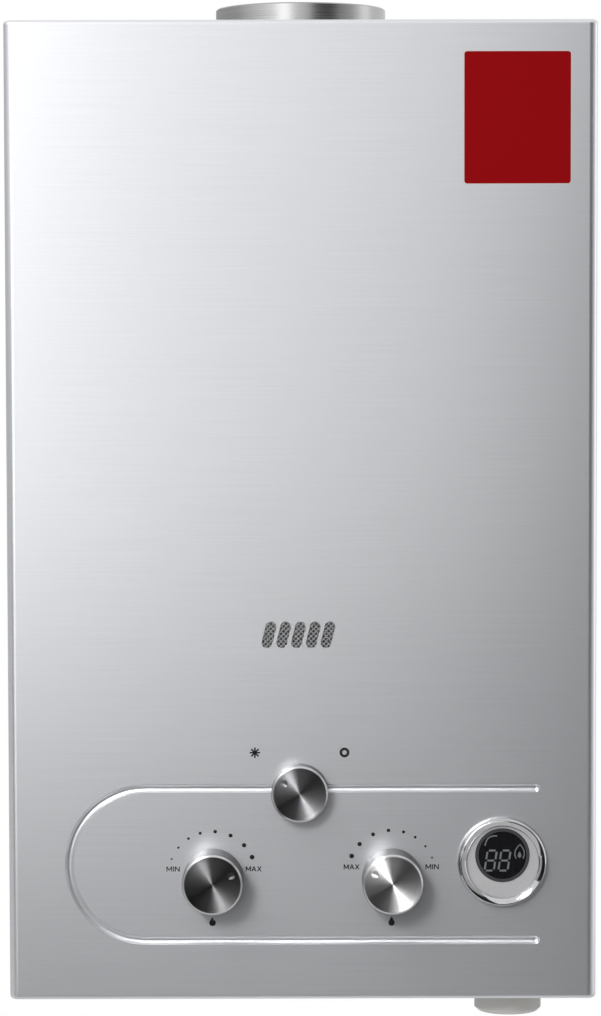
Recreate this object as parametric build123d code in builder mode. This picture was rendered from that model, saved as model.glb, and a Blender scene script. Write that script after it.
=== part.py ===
from build123d import *
import os

# A wall-hung instantaneous gas water heater, in millimetres.
# The wall is the plane y = 0, the front faces -Y, +Z is up and the origin is the middle of the wall fixings.

os.makedirs("parts", exist_ok=True)

# Front cover
body_width = 332.0
body_height = 551.0
body_depth = 150.0
cover_wall = 0.8
cover_corner_radius = 5.0
cover_fold_radius = 2.5
cover_lip = 14.0
cover_side_lip = 6.0
wall_gap = 3.0

# Pressed groove round the controls
groove_arc_inset = 77.5
groove_end_inset = 34.5
groove_rise = 77.0
groove_arc_radius = 43.2
groove_width = 5.0
groove_depth = 1.8

# Sight slots and their mesh
sight_slots = 5
sight_slot_pitch = 8.3
sight_slot_length = 15.3
sight_slot_width = 6.0
sight_slot_slant = 14.4
sight_x = -2.0
sight_rise = 207.1
mesh_margin = 5.0
mesh_thickness = 0.6
mesh_pitch = 3.0
mesh_hole = 2.0

# Side louvres
louvre_count = 7
louvre_pitch = 11.0
louvre_length = 46.0
louvre_width = 4.0
louvre_y = -body_depth * 8 / 15
louvre_rise = 105.5

# Chassis sheets
chassis_wall = 0.8
side_gap = 0.5
plate_edge_gap = 2.6
flange_depth = 18.0
plate_lip = 11.0
wall_hole_radius = 3.5
wall_hole_side_margin = 26.0
wall_hole_end_margin = 40.5
keyhole_radius = 6.0
keyhole_slot_width = 6.0
keyhole_slot_length = 12.0
keyhole_below_top = 33.0
bead_length = 160.0
bead_drop = 135.5
bead_width = 14.0
bead_depth = 2.0
bead_spacing = 190.0
vent_length = 52.0
vent_width = 5.0
vent_pitch = 12.0
vent_rows = 4
top_vent_inset = 58.0
back_vent_x = 45.0
back_vent_rise = 70.5
bottom_vent_x = -25.0
bottom_vent_spacing = 78.0
bottom_vent_y = -body_depth * 0.7
cover_screw_drop = 70.5
screw_head_radius = 3.6
screw_head_height = 1.6
screw_radius = 1.9
screw_length = 8.0
screw_gap = 0.1
screw_setback = 9.0

# Flue
flue_y = -body_depth / 2
collar_radius = 49.0
collar_wall = 0.8
collar_height = 12.2
collar_bead_radius = 1.2
rim_sides = 8
collar_flange_radius = 58.0
hood_wall = 0.8
hood_gap = 0.3
hood_neck_height = 24.0

# Heat exchanger
chamber_side_room = 66.0
chamber_depth = body_depth * 2 / 3
chamber_wall = 0.8
chamber_corner = 6.0
chamber_height = 195.0
chamber_rise = 230.5
fin_count = 8
fin_end_room = 16.0
fin_height = 46.0
fin_thickness = 0.6
fin_gap = 0.3
fin_drop = 28.0
tube_radius = 6.5
tube_pitch = 32.0
tube_gap = 0.05
tube_overhang = 4.0
pipe_bend_radius = 13.0
pipe_offset = 18.0
bracket_width = 30.0
bracket_height = 24.0
bracket_spacing = 120.0
bracket_rise = 65.0
bracket_wall = 1.2

# Burner
bar_count = 8
bar_side_room = 19.5
bar_width = 10.0
bar_front_y = -body_depth * 0.68
bar_rear_y = -body_depth / 6
bar_rise = 190.5
bar_head_height = 20.0
bar_tube_height = 20.0
bar_height = 53.0
bar_neck = 22.0
bar_corner = 9.0
bar_mouth_radius = 4.0
bar_mouth_depth = 16.0
port_width = 2.0
port_depth = 4.0
frame_wall = 2.0
frame_end_gap = 3.0
frame_height = 18.0
frame_foot_width = 16.0
frame_foot_inset = 15.5
frame_foot_height = 12.0

# Gas manifold
manifold_depth = 16.0
manifold_height = 16.0
manifold_end = 12.0
nozzle_radius = 3.0
nozzle_length = 6.0
nozzle_tip_radius = 1.4
nozzle_gap = 4.0
neck_radius = 9.0

# Ignition
electrode_spacing = 34.0
electrode_x = -40.0
ceramic_radius = 3.0
ceramic_length = 26.0
pin_radius = 0.9
pin_rise = 8.0
pin_reach = 24.0
pin_bend = 4.0
shelf_depth = 12.0
shelf_wall = 1.2
shelf_margin = 9.0
igniter_width = 50.0
igniter_depth = 24.0
igniter_height = 84.0
igniter_corner = 4.0
igniter_inset = 36.0
igniter_rise = 187.5
terminal_count = 3
terminal_width = 4.8
terminal_length = 7.0
terminal_thickness = 0.8
terminal_pitch = 12.0
thermostat_radius = 8.0
thermostat_height = 7.0
thermostat_drop = 62.0
seat_gap = 0.2

# Knobs and their spindles
regulator_share = 0.15181
regulator_rise = 69.2
regulator_radius = 17.0
regulator_height = 23.0
selector_x = -1.5
selector_rise = 118.5
selector_radius = 16.0
selector_height = 12.5
knob_clearance = 1.2
knob_skin = 1.4
knob_chamfer = 1.2
knob_face_inset = 2.2
knob_face_depth = 0.5
dimple_inset = 5.4
dimple_radius = 2.7
dimple_depth = 1.0
gas_dimple_angle = 26.0
water_dimple_angle = 150.0
selector_dimple_angle = 146.0
core_gap = 0.05
spindle_radius = 4.0
spindle_flat = 1.0
spindle_engagement = 22.0
spindle_hole_gap = 2.0
running_gap = 0.05

# Gas valve and water valve share the axis of the push rod, which lies along X
rod_y = -body_depth * 7 / 15
rod_rise = 69.5
rod_radius = 3.0
rod_travel = 4.0
rod_stop_gap = 0.3
gas_body_length = 93.0
gas_body_front_y = -body_depth * 0.8
gas_body_rear_y = -body_depth * 26 / 75
gas_body_height = 60.0
gas_body_corner = 8.0
selector_block_width = 32.0
selector_block_front_y = -body_depth * 64 / 75
selector_block_rear_y = -body_depth * 0.52
poppet_seat_depth = 15.0
poppet_chamber_radius = 14.0
poppet_radius = 11.0
poppet_thickness = 3.7
spring_radius = 9.0
spring_wall = 1.2
spring_chamber_length = 40.0
solenoid_radius = 16.0
solenoid_length = 22.0
solenoid_flange = 38.0
solenoid_flange_thickness = 4.0
collar_disc_radius = 7.5
collar_disc_thickness = 2.0
collar_disc_stand_off = 11.0
switch_width = 6.5
switch_depth = 18.5
switch_height = 12.0
button_radius = 1.2
button_offset = 5.2
button_guide = 4.0
button_rest_gap = 0.3

# Water valve
housing_lead = 25.4
yoke_length = 20.0
housing_radius = 34.0
cover_thickness = 8.0
diaphragm_thickness = 1.5
body_flange_thickness = 8.0
recess_radius = 25.0
recess_depth = 4.0
cover_recess_depth = 6.5
yoke_width = 10.0
yoke_offset = 26.0
water_body_radius = 17.0
cold_pipe_run = 23.0
water_boss_radius = 12.0
water_boss_front_y = -body_depth * 0.76
plate_radius = 14.0
plate_thickness = 1.5
valve_screw_count = 4
valve_screw_radius = 2.0
valve_screw_circle = 29.5
valve_screw_head_radius = 3.6
valve_screw_head_height = 2.6

# Pipe fittings under the case
fitting_thread_radius = 10.48
fitting_neck_radius = 11.4
fitting_tail_radius = 9.5
fitting_bore_radius = 7.0
fitting_hex = 27.0
fitting_hex_height = 9.0
fitting_below_case = 17.5
fitting_socket_depth = 10.0
fitting_hole_gap = 0.4
water_inlet_inset = 23.0
fitting_boss_radius = 14.0
fitting_chamfer = 1.2

# Display
display_inset = 53.3
display_rise = 78.5
bezel_radius = 25.4
bezel_height = 6.0
bezel_opening_radius = 20.4
bezel_step_radius = 22.3
bezel_step_height = 1.6
bezel_edge = 1.8
neck_wall = 1.3
neck_depth = 14.0
display_hole_gap = 0.3
face_recess = 3.0
face_thickness = 1.5
window_radius = 15.3
window_offset = 3.9
window_recess = 0.3
window_gap = 0.1
module_depth = 16.0
display_nut_width = 4.0
display_nut_thickness = 4.0

# Battery compartment
battery_inset = 47.4
battery_y = -body_depth * 53 / 75
cell_radius = 16.6
cell_length = 60.0
cell_nub_radius = 4.5
cell_nub_height = 1.5
cell_gap = 0.5
cell_contact_gap = 0.2
battery_tube_wall = 1.6
battery_tube_flange = 3.0
battery_tube_flange_thickness = 2.0
battery_tube_end = 1.0
battery_spring_height = 8.0
battery_spring_radius = 9.0
battery_spring_top_radius = 5.0
battery_spring_wall = 1.0
cap_radius = 19.2
cap_height = 13.3
cap_gap = 0.4
cap_plug_height = 10.0
cap_plug_gap = 0.3
cap_edge = 1.8
cap_slot_width = 3.0
cap_slot_depth = 2.5
cap_slot_length = 26.0

# Levels and depths that follow from the sizes above
half_width = body_width / 2
top_z = body_height / 2
bottom_z = -body_height / 2
groove_arc_x = groove_arc_inset - half_width
groove_end_x = half_width - groove_end_inset
groove_centre_z = bottom_z + groove_rise
sight_z = bottom_z + sight_rise
louvre_z = bottom_z + louvre_rise
wall_hole_spacing_x = body_width - 2 * wall_hole_side_margin
wall_hole_spacing_z = body_height - 2 * wall_hole_end_margin
bead_z = top_z - bead_drop
top_vent_x = half_width - top_vent_inset
back_vent_z = bottom_z + back_vent_rise
cover_screw_z = top_z - cover_screw_drop
chamber_width = body_width - 2 * chamber_side_room
chamber_bottom_z = bottom_z + chamber_rise
chamber_top_z = chamber_bottom_z + chamber_height
fin_pitch = (chamber_width - 2 * fin_end_room) / (fin_count - 1)
fin_centre_z = chamber_top_z - fin_drop
bracket_z = chamber_bottom_z + bracket_rise
bar_pitch = (chamber_width - 2 * bar_side_room) / (bar_count - 1)
bar_top_z = bottom_z + bar_rise
igniter_x = half_width - igniter_inset
igniter_z = bottom_z + igniter_rise
thermostat_z = fin_centre_z - thermostat_drop
regulator_x = body_width * regulator_share
regulator_z = bottom_z + regulator_rise
selector_z = bottom_z + selector_rise
rod_z = bottom_z + rod_rise
display_x = half_width - display_inset
display_z = bottom_z + display_rise
battery_x = half_width - battery_inset
front_y = -body_depth
inside_front_y = front_y + cover_wall
chassis_width = body_width - 2 * (cover_wall + side_gap)
chassis_top_z = top_z - cover_wall - chassis_wall
chassis_bottom_z = -chassis_top_z
plate_width = body_width - 2 * (cover_wall + plate_edge_gap)
plate_front_y = inside_front_y + plate_edge_gap
plate_rear_y = -chassis_wall
plate_depth = plate_rear_y - plate_front_y
floor_z = chassis_bottom_z
collar_inner_radius = collar_radius - collar_wall
rim_z = top_z + collar_height
collar_seat_z = chassis_top_z + chassis_wall
tube_front_y = flue_y - tube_pitch
tube_rear_y = flue_y + tube_pitch
tube_end_x = chamber_width / 2 + tube_overhang
fitting_y = tube_rear_y
hot_outlet_x = -chamber_width / 2 - pipe_offset
cold_pipe_x = chamber_width / 2 + pipe_offset
fitting_seat_z = floor_z
fitting_end_z = bottom_z - fitting_below_case
nozzle_z = bar_top_z - bar_height + bar_tube_height / 2
manifold_rear_y = bar_front_y - nozzle_gap - nozzle_length
manifold_bottom_z = nozzle_z - manifold_height / 2
manifold_length = (bar_count - 1) * bar_pitch + 2 * manifold_end
gas_body_top_z = rod_z + gas_body_height / 2
gas_body_bottom_z = rod_z - gas_body_height / 2
selector_block_top_z = manifold_bottom_z - manifold_height / 4
frame_width = (bar_count - 1) * bar_pitch + bar_width + 2 * (frame_end_gap + frame_wall)
frame_foot_spacing = frame_width - 2 * frame_foot_inset
frame_front_y = bar_front_y - frame_wall
frame_rear_y = bar_rear_y + frame_wall
frame_bottom_z = bar_top_z - bar_head_height
housing_left_x = regulator_x - housing_lead
gas_body_right_x = housing_left_x - yoke_length
gas_body_left_x = gas_body_right_x - gas_body_length
poppet_seat_x = gas_body_right_x - poppet_seat_depth
solenoid_nose_x = poppet_seat_x - spring_chamber_length
collar_disc_x = gas_body_right_x + collar_disc_stand_off
water_body_end_x = cold_pipe_x - cold_pipe_run
water_inlet_x = water_body_end_x - water_inlet_inset
diaphragm_x = housing_left_x + cover_thickness
water_flange_x = diaphragm_x + diaphragm_thickness
plate_x = diaphragm_x - rod_stop_gap - plate_thickness
poppet_x = poppet_seat_x - rod_stop_gap - poppet_thickness
face_y = front_y - bezel_height + face_recess
window_front_y = face_y + window_recess
module_front_y = face_y + face_thickness
tube_inner_radius = cell_radius + cell_gap
tube_outer_radius = tube_inner_radius + battery_tube_wall
battery_tube_bottom_z = bottom_z - battery_tube_end
cap_bottom_z = battery_tube_bottom_z - cap_gap - cap_height
cell_bottom_z = battery_tube_bottom_z + cap_plug_height
cell_stack_pitch = cell_length + cell_nub_height + cell_contact_gap
cell_top_z = cell_bottom_z + 2 * cell_stack_pitch


def facing(y, x=0.0, z=0.0):
    """A plane at depth y seen from the front: its x is +X, its y is +Z and it extrudes towards -Y."""
    return Plane(origin=(x, y, z), x_dir=(1, 0, 0), z_dir=(0, -1, 0))


def across(x, y=0.0, z=0.0):
    """A plane square to X: its x is +Y, its y is +Z and it extrudes towards +X."""
    return Plane(origin=(x, y, z), x_dir=(0, 1, 0), z_dir=(1, 0, 0))


def level(z, x=0.0, y=0.0):
    """A level plane: its x is +X, its y is +Y and it extrudes upwards."""
    return Plane(origin=(x, y, z), x_dir=(1, 0, 0), z_dir=(0, 0, 1))


def finish(builder, name):
    """Names a finished piece and writes it."""
    builder.part.label = name
    export_step(builder.part, f"parts/{name}.step")


# The groove's cross-section is a circle that dips into the sheet by the groove's depth
groove_radius = ((groove_width / 2) ** 2 + groove_depth**2) / (2 * groove_depth)
groove_axis_y = front_y + groove_depth - groove_radius
groove_top_z = groove_centre_z + groove_arc_radius
groove_low_z = groove_centre_z - groove_arc_radius



def pan_block(inset):
    """The solid that the cover's sheet is wrapped round, smaller by inset on every closed side."""
    half_height = top_z - inset
    with BuildPart() as block:
        with BuildSketch(level(-half_height)):
            with Locations((0, (front_y + inset - wall_gap) / 2)):
                Rectangle(body_width - 2 * inset, body_depth - inset - wall_gap)
        extrude(amount=2 * half_height)
        fillet(block.edges().filter_by(Axis.Z).group_by(Axis.Y)[0], radius=cover_corner_radius - inset)
        front_face = block.faces().sort_by(Axis.Y)[0]
        fillet(front_face.edges().filter_by(Axis.X), radius=cover_fold_radius - inset)
    return block.part


# Front cover: a folded pan with rolled edges, sight slots, side louvres and the pressed groove
with BuildPart() as front_cover:
    add(pan_block(0.0))
    add(pan_block(cover_wall), mode=Mode.SUBTRACT)
    with BuildSketch(level(bottom_z)):
        with Locations((0, (front_y + cover_lip) / 2)):
            Rectangle(body_width - 2 * cover_side_lip, body_depth - cover_lip)
    extrude(amount=body_height, mode=Mode.SUBTRACT)
    with BuildLine(facing(groove_axis_y)) as groove_path:
        Line((groove_end_x, groove_top_z), (groove_arc_x, groove_top_z))
        ThreePointArc(
            (groove_arc_x, groove_top_z),
            (groove_arc_x - groove_arc_radius, groove_centre_z),
            (groove_arc_x, groove_low_z),
        )
        Line((groove_arc_x, groove_low_z), (groove_end_x, groove_low_z))
    groove_ends = [(groove_end_x, groove_axis_y, groove_top_z), (groove_end_x, groove_axis_y, groove_low_z)]
    with BuildSketch(across(groove_end_x, groove_axis_y, groove_top_z)):
        Circle(groove_radius + cover_wall)
    sweep(path=groove_path.line)
    with Locations(*groove_ends):
        Sphere(groove_radius + cover_wall)
    with BuildSketch(facing(front_y)):
        Rectangle(body_width, body_height)
    extrude(amount=2 * groove_radius, mode=Mode.SUBTRACT)
    with BuildSketch(across(groove_end_x, groove_axis_y, groove_top_z)):
        Circle(groove_radius)
    sweep(path=groove_path.line, mode=Mode.SUBTRACT)
    with Locations(*groove_ends):
        Sphere(groove_radius, mode=Mode.SUBTRACT)
    with BuildSketch(facing(front_y)):
        with Locations((sight_x, sight_z)):
            with GridLocations(sight_slot_pitch, 0, sight_slots, 1):
                SlotOverall(sight_slot_length, sight_slot_width, rotation=90 - sight_slot_slant)
        with Locations((-regulator_x, regulator_z), (regulator_x, regulator_z), (selector_x, selector_z)):
            Circle(spindle_radius + spindle_hole_gap)
        with Locations((display_x, display_z)):
            Circle(bezel_opening_radius + neck_wall + display_hole_gap)
    extrude(amount=-groove_depth - 2 * cover_wall, mode=Mode.SUBTRACT)
    with BuildSketch(across(-body_width)):
        with Locations((louvre_y, louvre_z)):
            with GridLocations(0, louvre_pitch, 1, louvre_count):
                SlotOverall(louvre_length, louvre_width)
        with Locations((-screw_setback, cover_screw_z), (-screw_setback, -cover_screw_z)):
            Circle(screw_radius + screw_gap)
    extrude(amount=2 * body_width, mode=Mode.SUBTRACT)
finish(front_cover, "front_cover")

# Sight mesh: a perforated strip held against the inside of the cover behind the slots
mesh_width = (sight_slots - 1) * sight_slot_pitch + sight_slot_width + 2 * mesh_margin
mesh_height = sight_slot_length + 2 * mesh_margin
with BuildPart() as sight_mesh:
    with BuildSketch(facing(inside_front_y + mesh_thickness)):
        with Locations((sight_x, sight_z)):
            Rectangle(mesh_width, mesh_height)
            columns = int((mesh_width - mesh_margin) / mesh_pitch)
            rows = int((mesh_height - mesh_margin) / mesh_pitch)
            with GridLocations(mesh_pitch, mesh_pitch, columns, rows):
                Rectangle(mesh_hole, mesh_hole, rotation=45, mode=Mode.SUBTRACT)
    extrude(amount=mesh_thickness)
finish(sight_mesh, "sight_mesh")

# Back plate: a channel that hangs on the wall, stiffened by two beads
with BuildPart() as back_plate:
    with BuildSketch(level(chassis_bottom_z)):
        with Locations((0, -flange_depth / 2)):
            Rectangle(chassis_width, flange_depth)
        with Locations((0, -(flange_depth + chassis_wall) / 2)):
            Rectangle(chassis_width - 2 * chassis_wall, flange_depth - chassis_wall, mode=Mode.SUBTRACT)
    extrude(amount=chassis_top_z - chassis_bottom_z)
    with BuildSketch(facing(-chassis_wall)):
        with Locations((-bead_spacing / 2, bead_z), (bead_spacing / 2, bead_z)):
            SlotOverall(bead_length, bead_width + 2 * chassis_wall, rotation=90)
    extrude(amount=bead_depth)
    with BuildSketch(facing(0)):
        with Locations((-bead_spacing / 2, bead_z), (bead_spacing / 2, bead_z)):
            SlotOverall(bead_length - 2 * chassis_wall, bead_width, rotation=90)
    extrude(amount=bead_depth, mode=Mode.SUBTRACT)
    with BuildSketch(facing(0)):
        with GridLocations(wall_hole_spacing_x, wall_hole_spacing_z, 2, 2):
            Circle(wall_hole_radius)
        with Locations((0, top_z - keyhole_below_top)):
            Circle(keyhole_radius)
        with Locations((0, top_z - keyhole_below_top + keyhole_slot_length / 2)):
            SlotOverall(keyhole_slot_length + keyhole_slot_width, keyhole_slot_width, rotation=90)
        with Locations((-back_vent_x, back_vent_z), (back_vent_x, back_vent_z)):
            with GridLocations(0, vent_pitch, 1, vent_rows):
                SlotOverall(vent_length, vent_width)
    extrude(amount=flange_depth, mode=Mode.SUBTRACT)
    with BuildSketch(across(-body_width)):
        with Locations((-screw_setback, cover_screw_z), (-screw_setback, -cover_screw_z)):
            Circle(screw_radius + screw_gap)
    extrude(amount=2 * body_width, mode=Mode.SUBTRACT)
finish(back_plate, "back_plate")

# Top plate: closes the case round the flue, with relief slots either side
with BuildPart() as top_plate:
    with BuildSketch(level(chassis_top_z)):
        with Locations((0, plate_front_y + plate_depth / 2)):
            Rectangle(plate_width, plate_depth)
        with Locations((0, flue_y)):
            Circle(collar_inner_radius, mode=Mode.SUBTRACT)
        with Locations((-top_vent_x, flue_y), (top_vent_x, flue_y)):
            with GridLocations(0, vent_pitch, 1, vent_rows):
                SlotOverall(vent_length, vent_width, mode=Mode.SUBTRACT)
    extrude(amount=chassis_wall)
    with BuildSketch(level(chassis_top_z)):
        with Locations((0, plate_front_y + chassis_wall / 2), (0, plate_rear_y - chassis_wall / 2)):
            Rectangle(chassis_width - 2 * flange_depth, chassis_wall)
    extrude(amount=-plate_lip)
finish(top_plate, "top_plate")

# Bottom plate: carries the pipe fittings and the battery tube, and lets air in
with BuildPart() as bottom_plate:
    with BuildSketch(level(floor_z)):
        with Locations((0, plate_front_y + plate_depth / 2)):
            Rectangle(plate_width, plate_depth)
        with Locations((-regulator_x, fitting_y), (water_inlet_x, fitting_y), (hot_outlet_x, fitting_y)):
            Circle(fitting_neck_radius + fitting_hole_gap, mode=Mode.SUBTRACT)
        with Locations((battery_x, battery_y)):
            Circle(tube_outer_radius + fitting_hole_gap, mode=Mode.SUBTRACT)
        with Locations((bottom_vent_x, bottom_vent_y)):
            with GridLocations(bottom_vent_spacing, vent_pitch, 2, vent_rows):
                SlotOverall(vent_length, vent_width, mode=Mode.SUBTRACT)
    extrude(amount=-chassis_wall)
    with BuildSketch(level(floor_z)):
        with Locations((0, plate_front_y + chassis_wall / 2), (0, plate_rear_y - chassis_wall / 2)):
            Rectangle(chassis_width - 2 * flange_depth, chassis_wall)
    extrude(amount=plate_lip)
finish(bottom_plate, "bottom_plate")

# Cover screws: pan heads on the cover's sides, through the back plate's flanges
with BuildPart() as cover_screws:
    for side in (-1, 1):
        for height in (-cover_screw_z, cover_screw_z):
            seat = Plane(
                origin=(side * body_width / 2, -screw_setback, height), x_dir=(0, 1, 0), z_dir=(side, 0, 0)
            )
            with BuildSketch(seat):
                Circle(screw_head_radius)
            extrude(amount=screw_head_height)
            with BuildSketch(seat):
                Circle(screw_radius)
            extrude(amount=-screw_length)
    heads = cover_screws.faces().filter_by(Axis.X).group_by(SortBy.AREA)[-1]
    chamfer(heads.edges(), length=screw_head_height / 3)
finish(cover_screws, "cover_screws")

# Flue collar: a short spigot with a flange below and an inward rolled rim
with BuildPart() as flue_collar:
    with BuildSketch(Plane.XZ.offset(-flue_y)):
        with Locations((collar_inner_radius, collar_seat_z)):
            Rectangle(collar_wall, rim_z - collar_bead_radius - collar_seat_z, align=Align.MIN)
            Rectangle(collar_flange_radius - collar_inner_radius, collar_wall, align=Align.MIN)
        with Locations((collar_radius - collar_bead_radius, rim_z - collar_bead_radius)):
            RegularPolygon(collar_bead_radius, rim_sides, major_radius=False, rotation=180 / rim_sides)
    revolve(axis=Axis((0, flue_y, 0), (0, 0, 1)))
finish(flue_collar, "flue_collar")

# Flue hood: a folded funnel that gathers the burnt gas from the exchanger into a round neck
hood_neck_radius = collar_inner_radius - hood_gap
with BuildPart() as flue_hood:
    hood_depth = chamber_depth - 2 * hood_wall
    with BuildSketch(level(chamber_top_z, 0, flue_y)):
        Rectangle(chamber_width, chamber_depth)
    with BuildSketch(level(chassis_top_z - hood_neck_height, 0, flue_y)):
        Rectangle(chamber_depth, chamber_depth)
    loft(ruled=True)
    with BuildSketch(level(chamber_top_z, 0, flue_y)):
        Rectangle(chamber_width - 2 * hood_wall, hood_depth)
    with BuildSketch(level(chassis_top_z - hood_neck_height - hood_wall, 0, flue_y)):
        Rectangle(hood_depth, hood_depth)
    loft(ruled=True, mode=Mode.SUBTRACT)
    with BuildSketch(level(chassis_top_z - hood_neck_height, 0, flue_y)):
        Circle(hood_neck_radius)
    extrude(amount=hood_neck_height)
    with BuildSketch(level(chassis_top_z, 0, flue_y)):
        Circle(hood_neck_radius - hood_wall)
    extrude(amount=-hood_neck_height - 2 * hood_wall, mode=Mode.SUBTRACT)
finish(flue_hood, "flue_hood")

# Combustion chamber: a copper duct that the tubes pass through
with BuildPart() as combustion_chamber:
    with BuildSketch(level(chamber_bottom_z, 0, flue_y)):
        RectangleRounded(chamber_width, chamber_depth, chamber_corner)
        RectangleRounded(
            chamber_width - 2 * chamber_wall,
            chamber_depth - 2 * chamber_wall,
            chamber_corner - chamber_wall,
            mode=Mode.SUBTRACT,
        )
    extrude(amount=chamber_top_z - chamber_bottom_z)
    with BuildSketch(across(-chamber_width, flue_y, fin_centre_z)):
        with GridLocations(tube_pitch, 0, 3, 1):
            Circle(tube_radius + tube_gap)
    extrude(amount=2 * chamber_width, mode=Mode.SUBTRACT)
finish(combustion_chamber, "combustion_chamber")

# Exchanger brackets: channels that carry the chamber on the back plate
bracket_depth = -chassis_wall - (flue_y + chamber_depth / 2)
with BuildPart() as exchanger_brackets:
    for side in (-1, 1):
        with BuildSketch(level(bracket_z, side * bracket_spacing / 2, -chassis_wall - bracket_depth / 2)):
            Rectangle(bracket_width, bracket_depth)
            with Locations((bracket_wall, 0)):
                Rectangle(bracket_width, bracket_depth - 2 * bracket_wall, mode=Mode.SUBTRACT)
        extrude(amount=bracket_height)
finish(exchanger_brackets, "exchanger_brackets")

# Heat fins: copper plates threaded on the tubes
with BuildPart() as heat_fins:
    for place in range(fin_count):
        fin_x = (place - (fin_count - 1) / 2) * fin_pitch - fin_thickness / 2
        with BuildSketch(across(fin_x, flue_y, fin_centre_z)):
            Rectangle(chamber_depth - 2 * (chamber_wall + fin_gap), fin_height)
            with GridLocations(tube_pitch, 0, 3, 1):
                Circle(tube_radius + tube_gap, mode=Mode.SUBTRACT)
        extrude(amount=fin_thickness)
finish(heat_fins, "heat_fins")

# Heat tubes: one serpentine of three passes with two return bends
with BuildPart() as heat_tubes:
    with BuildLine(level(fin_centre_z)) as tube_path:
        Line((tube_end_x, tube_front_y), (-tube_end_x, tube_front_y))
        ThreePointArc(
            (-tube_end_x, tube_front_y),
            (-tube_end_x - tube_pitch / 2, flue_y - tube_pitch / 2),
            (-tube_end_x, flue_y),
        )
        Line((-tube_end_x, flue_y), (tube_end_x, flue_y))
        ThreePointArc(
            (tube_end_x, flue_y),
            (tube_end_x + tube_pitch / 2, flue_y + tube_pitch / 2),
            (tube_end_x, tube_rear_y),
        )
        Line((tube_end_x, tube_rear_y), (-tube_end_x, tube_rear_y))
    with BuildSketch(across(tube_end_x, tube_front_y, fin_centre_z)):
        Circle(tube_radius)
    sweep(path=tube_path.line)
finish(heat_tubes, "heat_tubes")

# Cold pipe: from the water valve up to the exchanger's inlet
with BuildPart() as cold_pipe:
    with BuildLine() as cold_path:
        FilletPolyline(
            (tube_end_x, tube_front_y, fin_centre_z),
            (cold_pipe_x, tube_front_y, fin_centre_z),
            (cold_pipe_x, rod_y, rod_z),
            (water_body_end_x, rod_y, rod_z),
            radius=pipe_bend_radius,
        )
    with BuildSketch(across(tube_end_x, tube_front_y, fin_centre_z)):
        Circle(tube_radius)
    sweep(path=cold_path.line)
finish(cold_pipe, "cold_pipe")

# Hot pipe: from the exchanger's outlet down to the outlet fitting
with BuildPart() as hot_pipe:
    with BuildLine() as hot_path:
        FilletPolyline(
            (-tube_end_x, tube_rear_y, fin_centre_z),
            (hot_outlet_x, tube_rear_y, fin_centre_z),
            (hot_outlet_x, tube_rear_y, fitting_seat_z + fitting_hex_height),
            radius=pipe_bend_radius,
        )
    with BuildSketch(across(-tube_end_x, tube_rear_y, fin_centre_z)):
        Circle(tube_radius)
    sweep(path=hot_path.line)
finish(hot_pipe, "hot_pipe")

# Overheat thermostat: a button switch clipped to the hot pipe
with BuildPart() as overheat_thermostat:
    thermostat_x = hot_outlet_x - tube_radius - seat_gap
    with BuildSketch(across(thermostat_x, tube_rear_y, thermostat_z)):
        Circle(thermostat_radius)
    extrude(amount=-thermostat_height)
    with BuildSketch(across(thermostat_x - thermostat_height, tube_rear_y, thermostat_z)):
        with GridLocations(0, thermostat_radius, 1, 2):
            Rectangle(terminal_width, terminal_thickness)
    extrude(amount=-terminal_length)
finish(overheat_thermostat, "overheat_thermostat")

# Burner frame: a rail round the bars, on two feet against the back plate
with BuildPart() as burner_frame:
    frame_depth = frame_rear_y - frame_front_y
    with BuildSketch(level(frame_bottom_z, 0, (frame_front_y + frame_rear_y) / 2)):
        Rectangle(frame_width, frame_depth)
        Rectangle(frame_width - 2 * frame_wall, frame_depth - 2 * frame_wall, mode=Mode.SUBTRACT)
    extrude(amount=frame_height)
    with BuildSketch(level(frame_bottom_z, 0, (frame_rear_y - chassis_wall) / 2)):
        with GridLocations(frame_foot_spacing, 0, 2, 1):
            Rectangle(frame_foot_width, -chassis_wall - frame_rear_y)
    extrude(amount=frame_wall)
    with BuildSketch(level(frame_bottom_z, 0, -chassis_wall - frame_wall / 2)):
        with GridLocations(frame_foot_spacing, 0, 2, 1):
            Rectangle(frame_foot_width, frame_wall)
    extrude(amount=frame_foot_height)
finish(burner_frame, "burner_frame")

# Burner bars: a mixing tube below, a ported head above, joined by a neck at the rear
with BuildPart() as burner_bars:
    bar_bottom_z = bar_top_z - bar_height
    bar_depth = bar_rear_y - bar_front_y
    for place in range(bar_count):
        bar_x = (place - (bar_count - 1) / 2) * bar_pitch
        with BuildSketch(across(bar_x - bar_width / 2)):
            with Locations(((bar_front_y + bar_rear_y) / 2, bar_bottom_z + bar_height / 2)):
                Rectangle(bar_depth, bar_height)
            gap_height = bar_height - bar_head_height - bar_tube_height
            gap_z = bar_bottom_z + bar_tube_height + gap_height / 2
            with Locations(((bar_front_y + bar_rear_y - bar_neck) / 2, gap_z)):
                Rectangle(bar_depth - bar_neck, gap_height, mode=Mode.SUBTRACT)
        extrude(amount=bar_width)
        with BuildSketch(facing(bar_front_y, bar_x, nozzle_z)):
            Circle(bar_mouth_radius)
        extrude(amount=-bar_mouth_depth, mode=Mode.SUBTRACT)
        with BuildSketch(level(bar_top_z, bar_x, (bar_front_y + bar_rear_y) / 2)):
            Rectangle(port_width, bar_depth - 2 * port_depth)
        extrude(amount=-port_depth, mode=Mode.SUBTRACT)
    rear_edges = burner_bars.edges().filter_by(Axis.X).group_by(Axis.Y)[-1]
    fillet(rear_edges.group_by(Axis.Z)[0], radius=bar_corner)
finish(burner_bars, "burner_bars")

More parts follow.
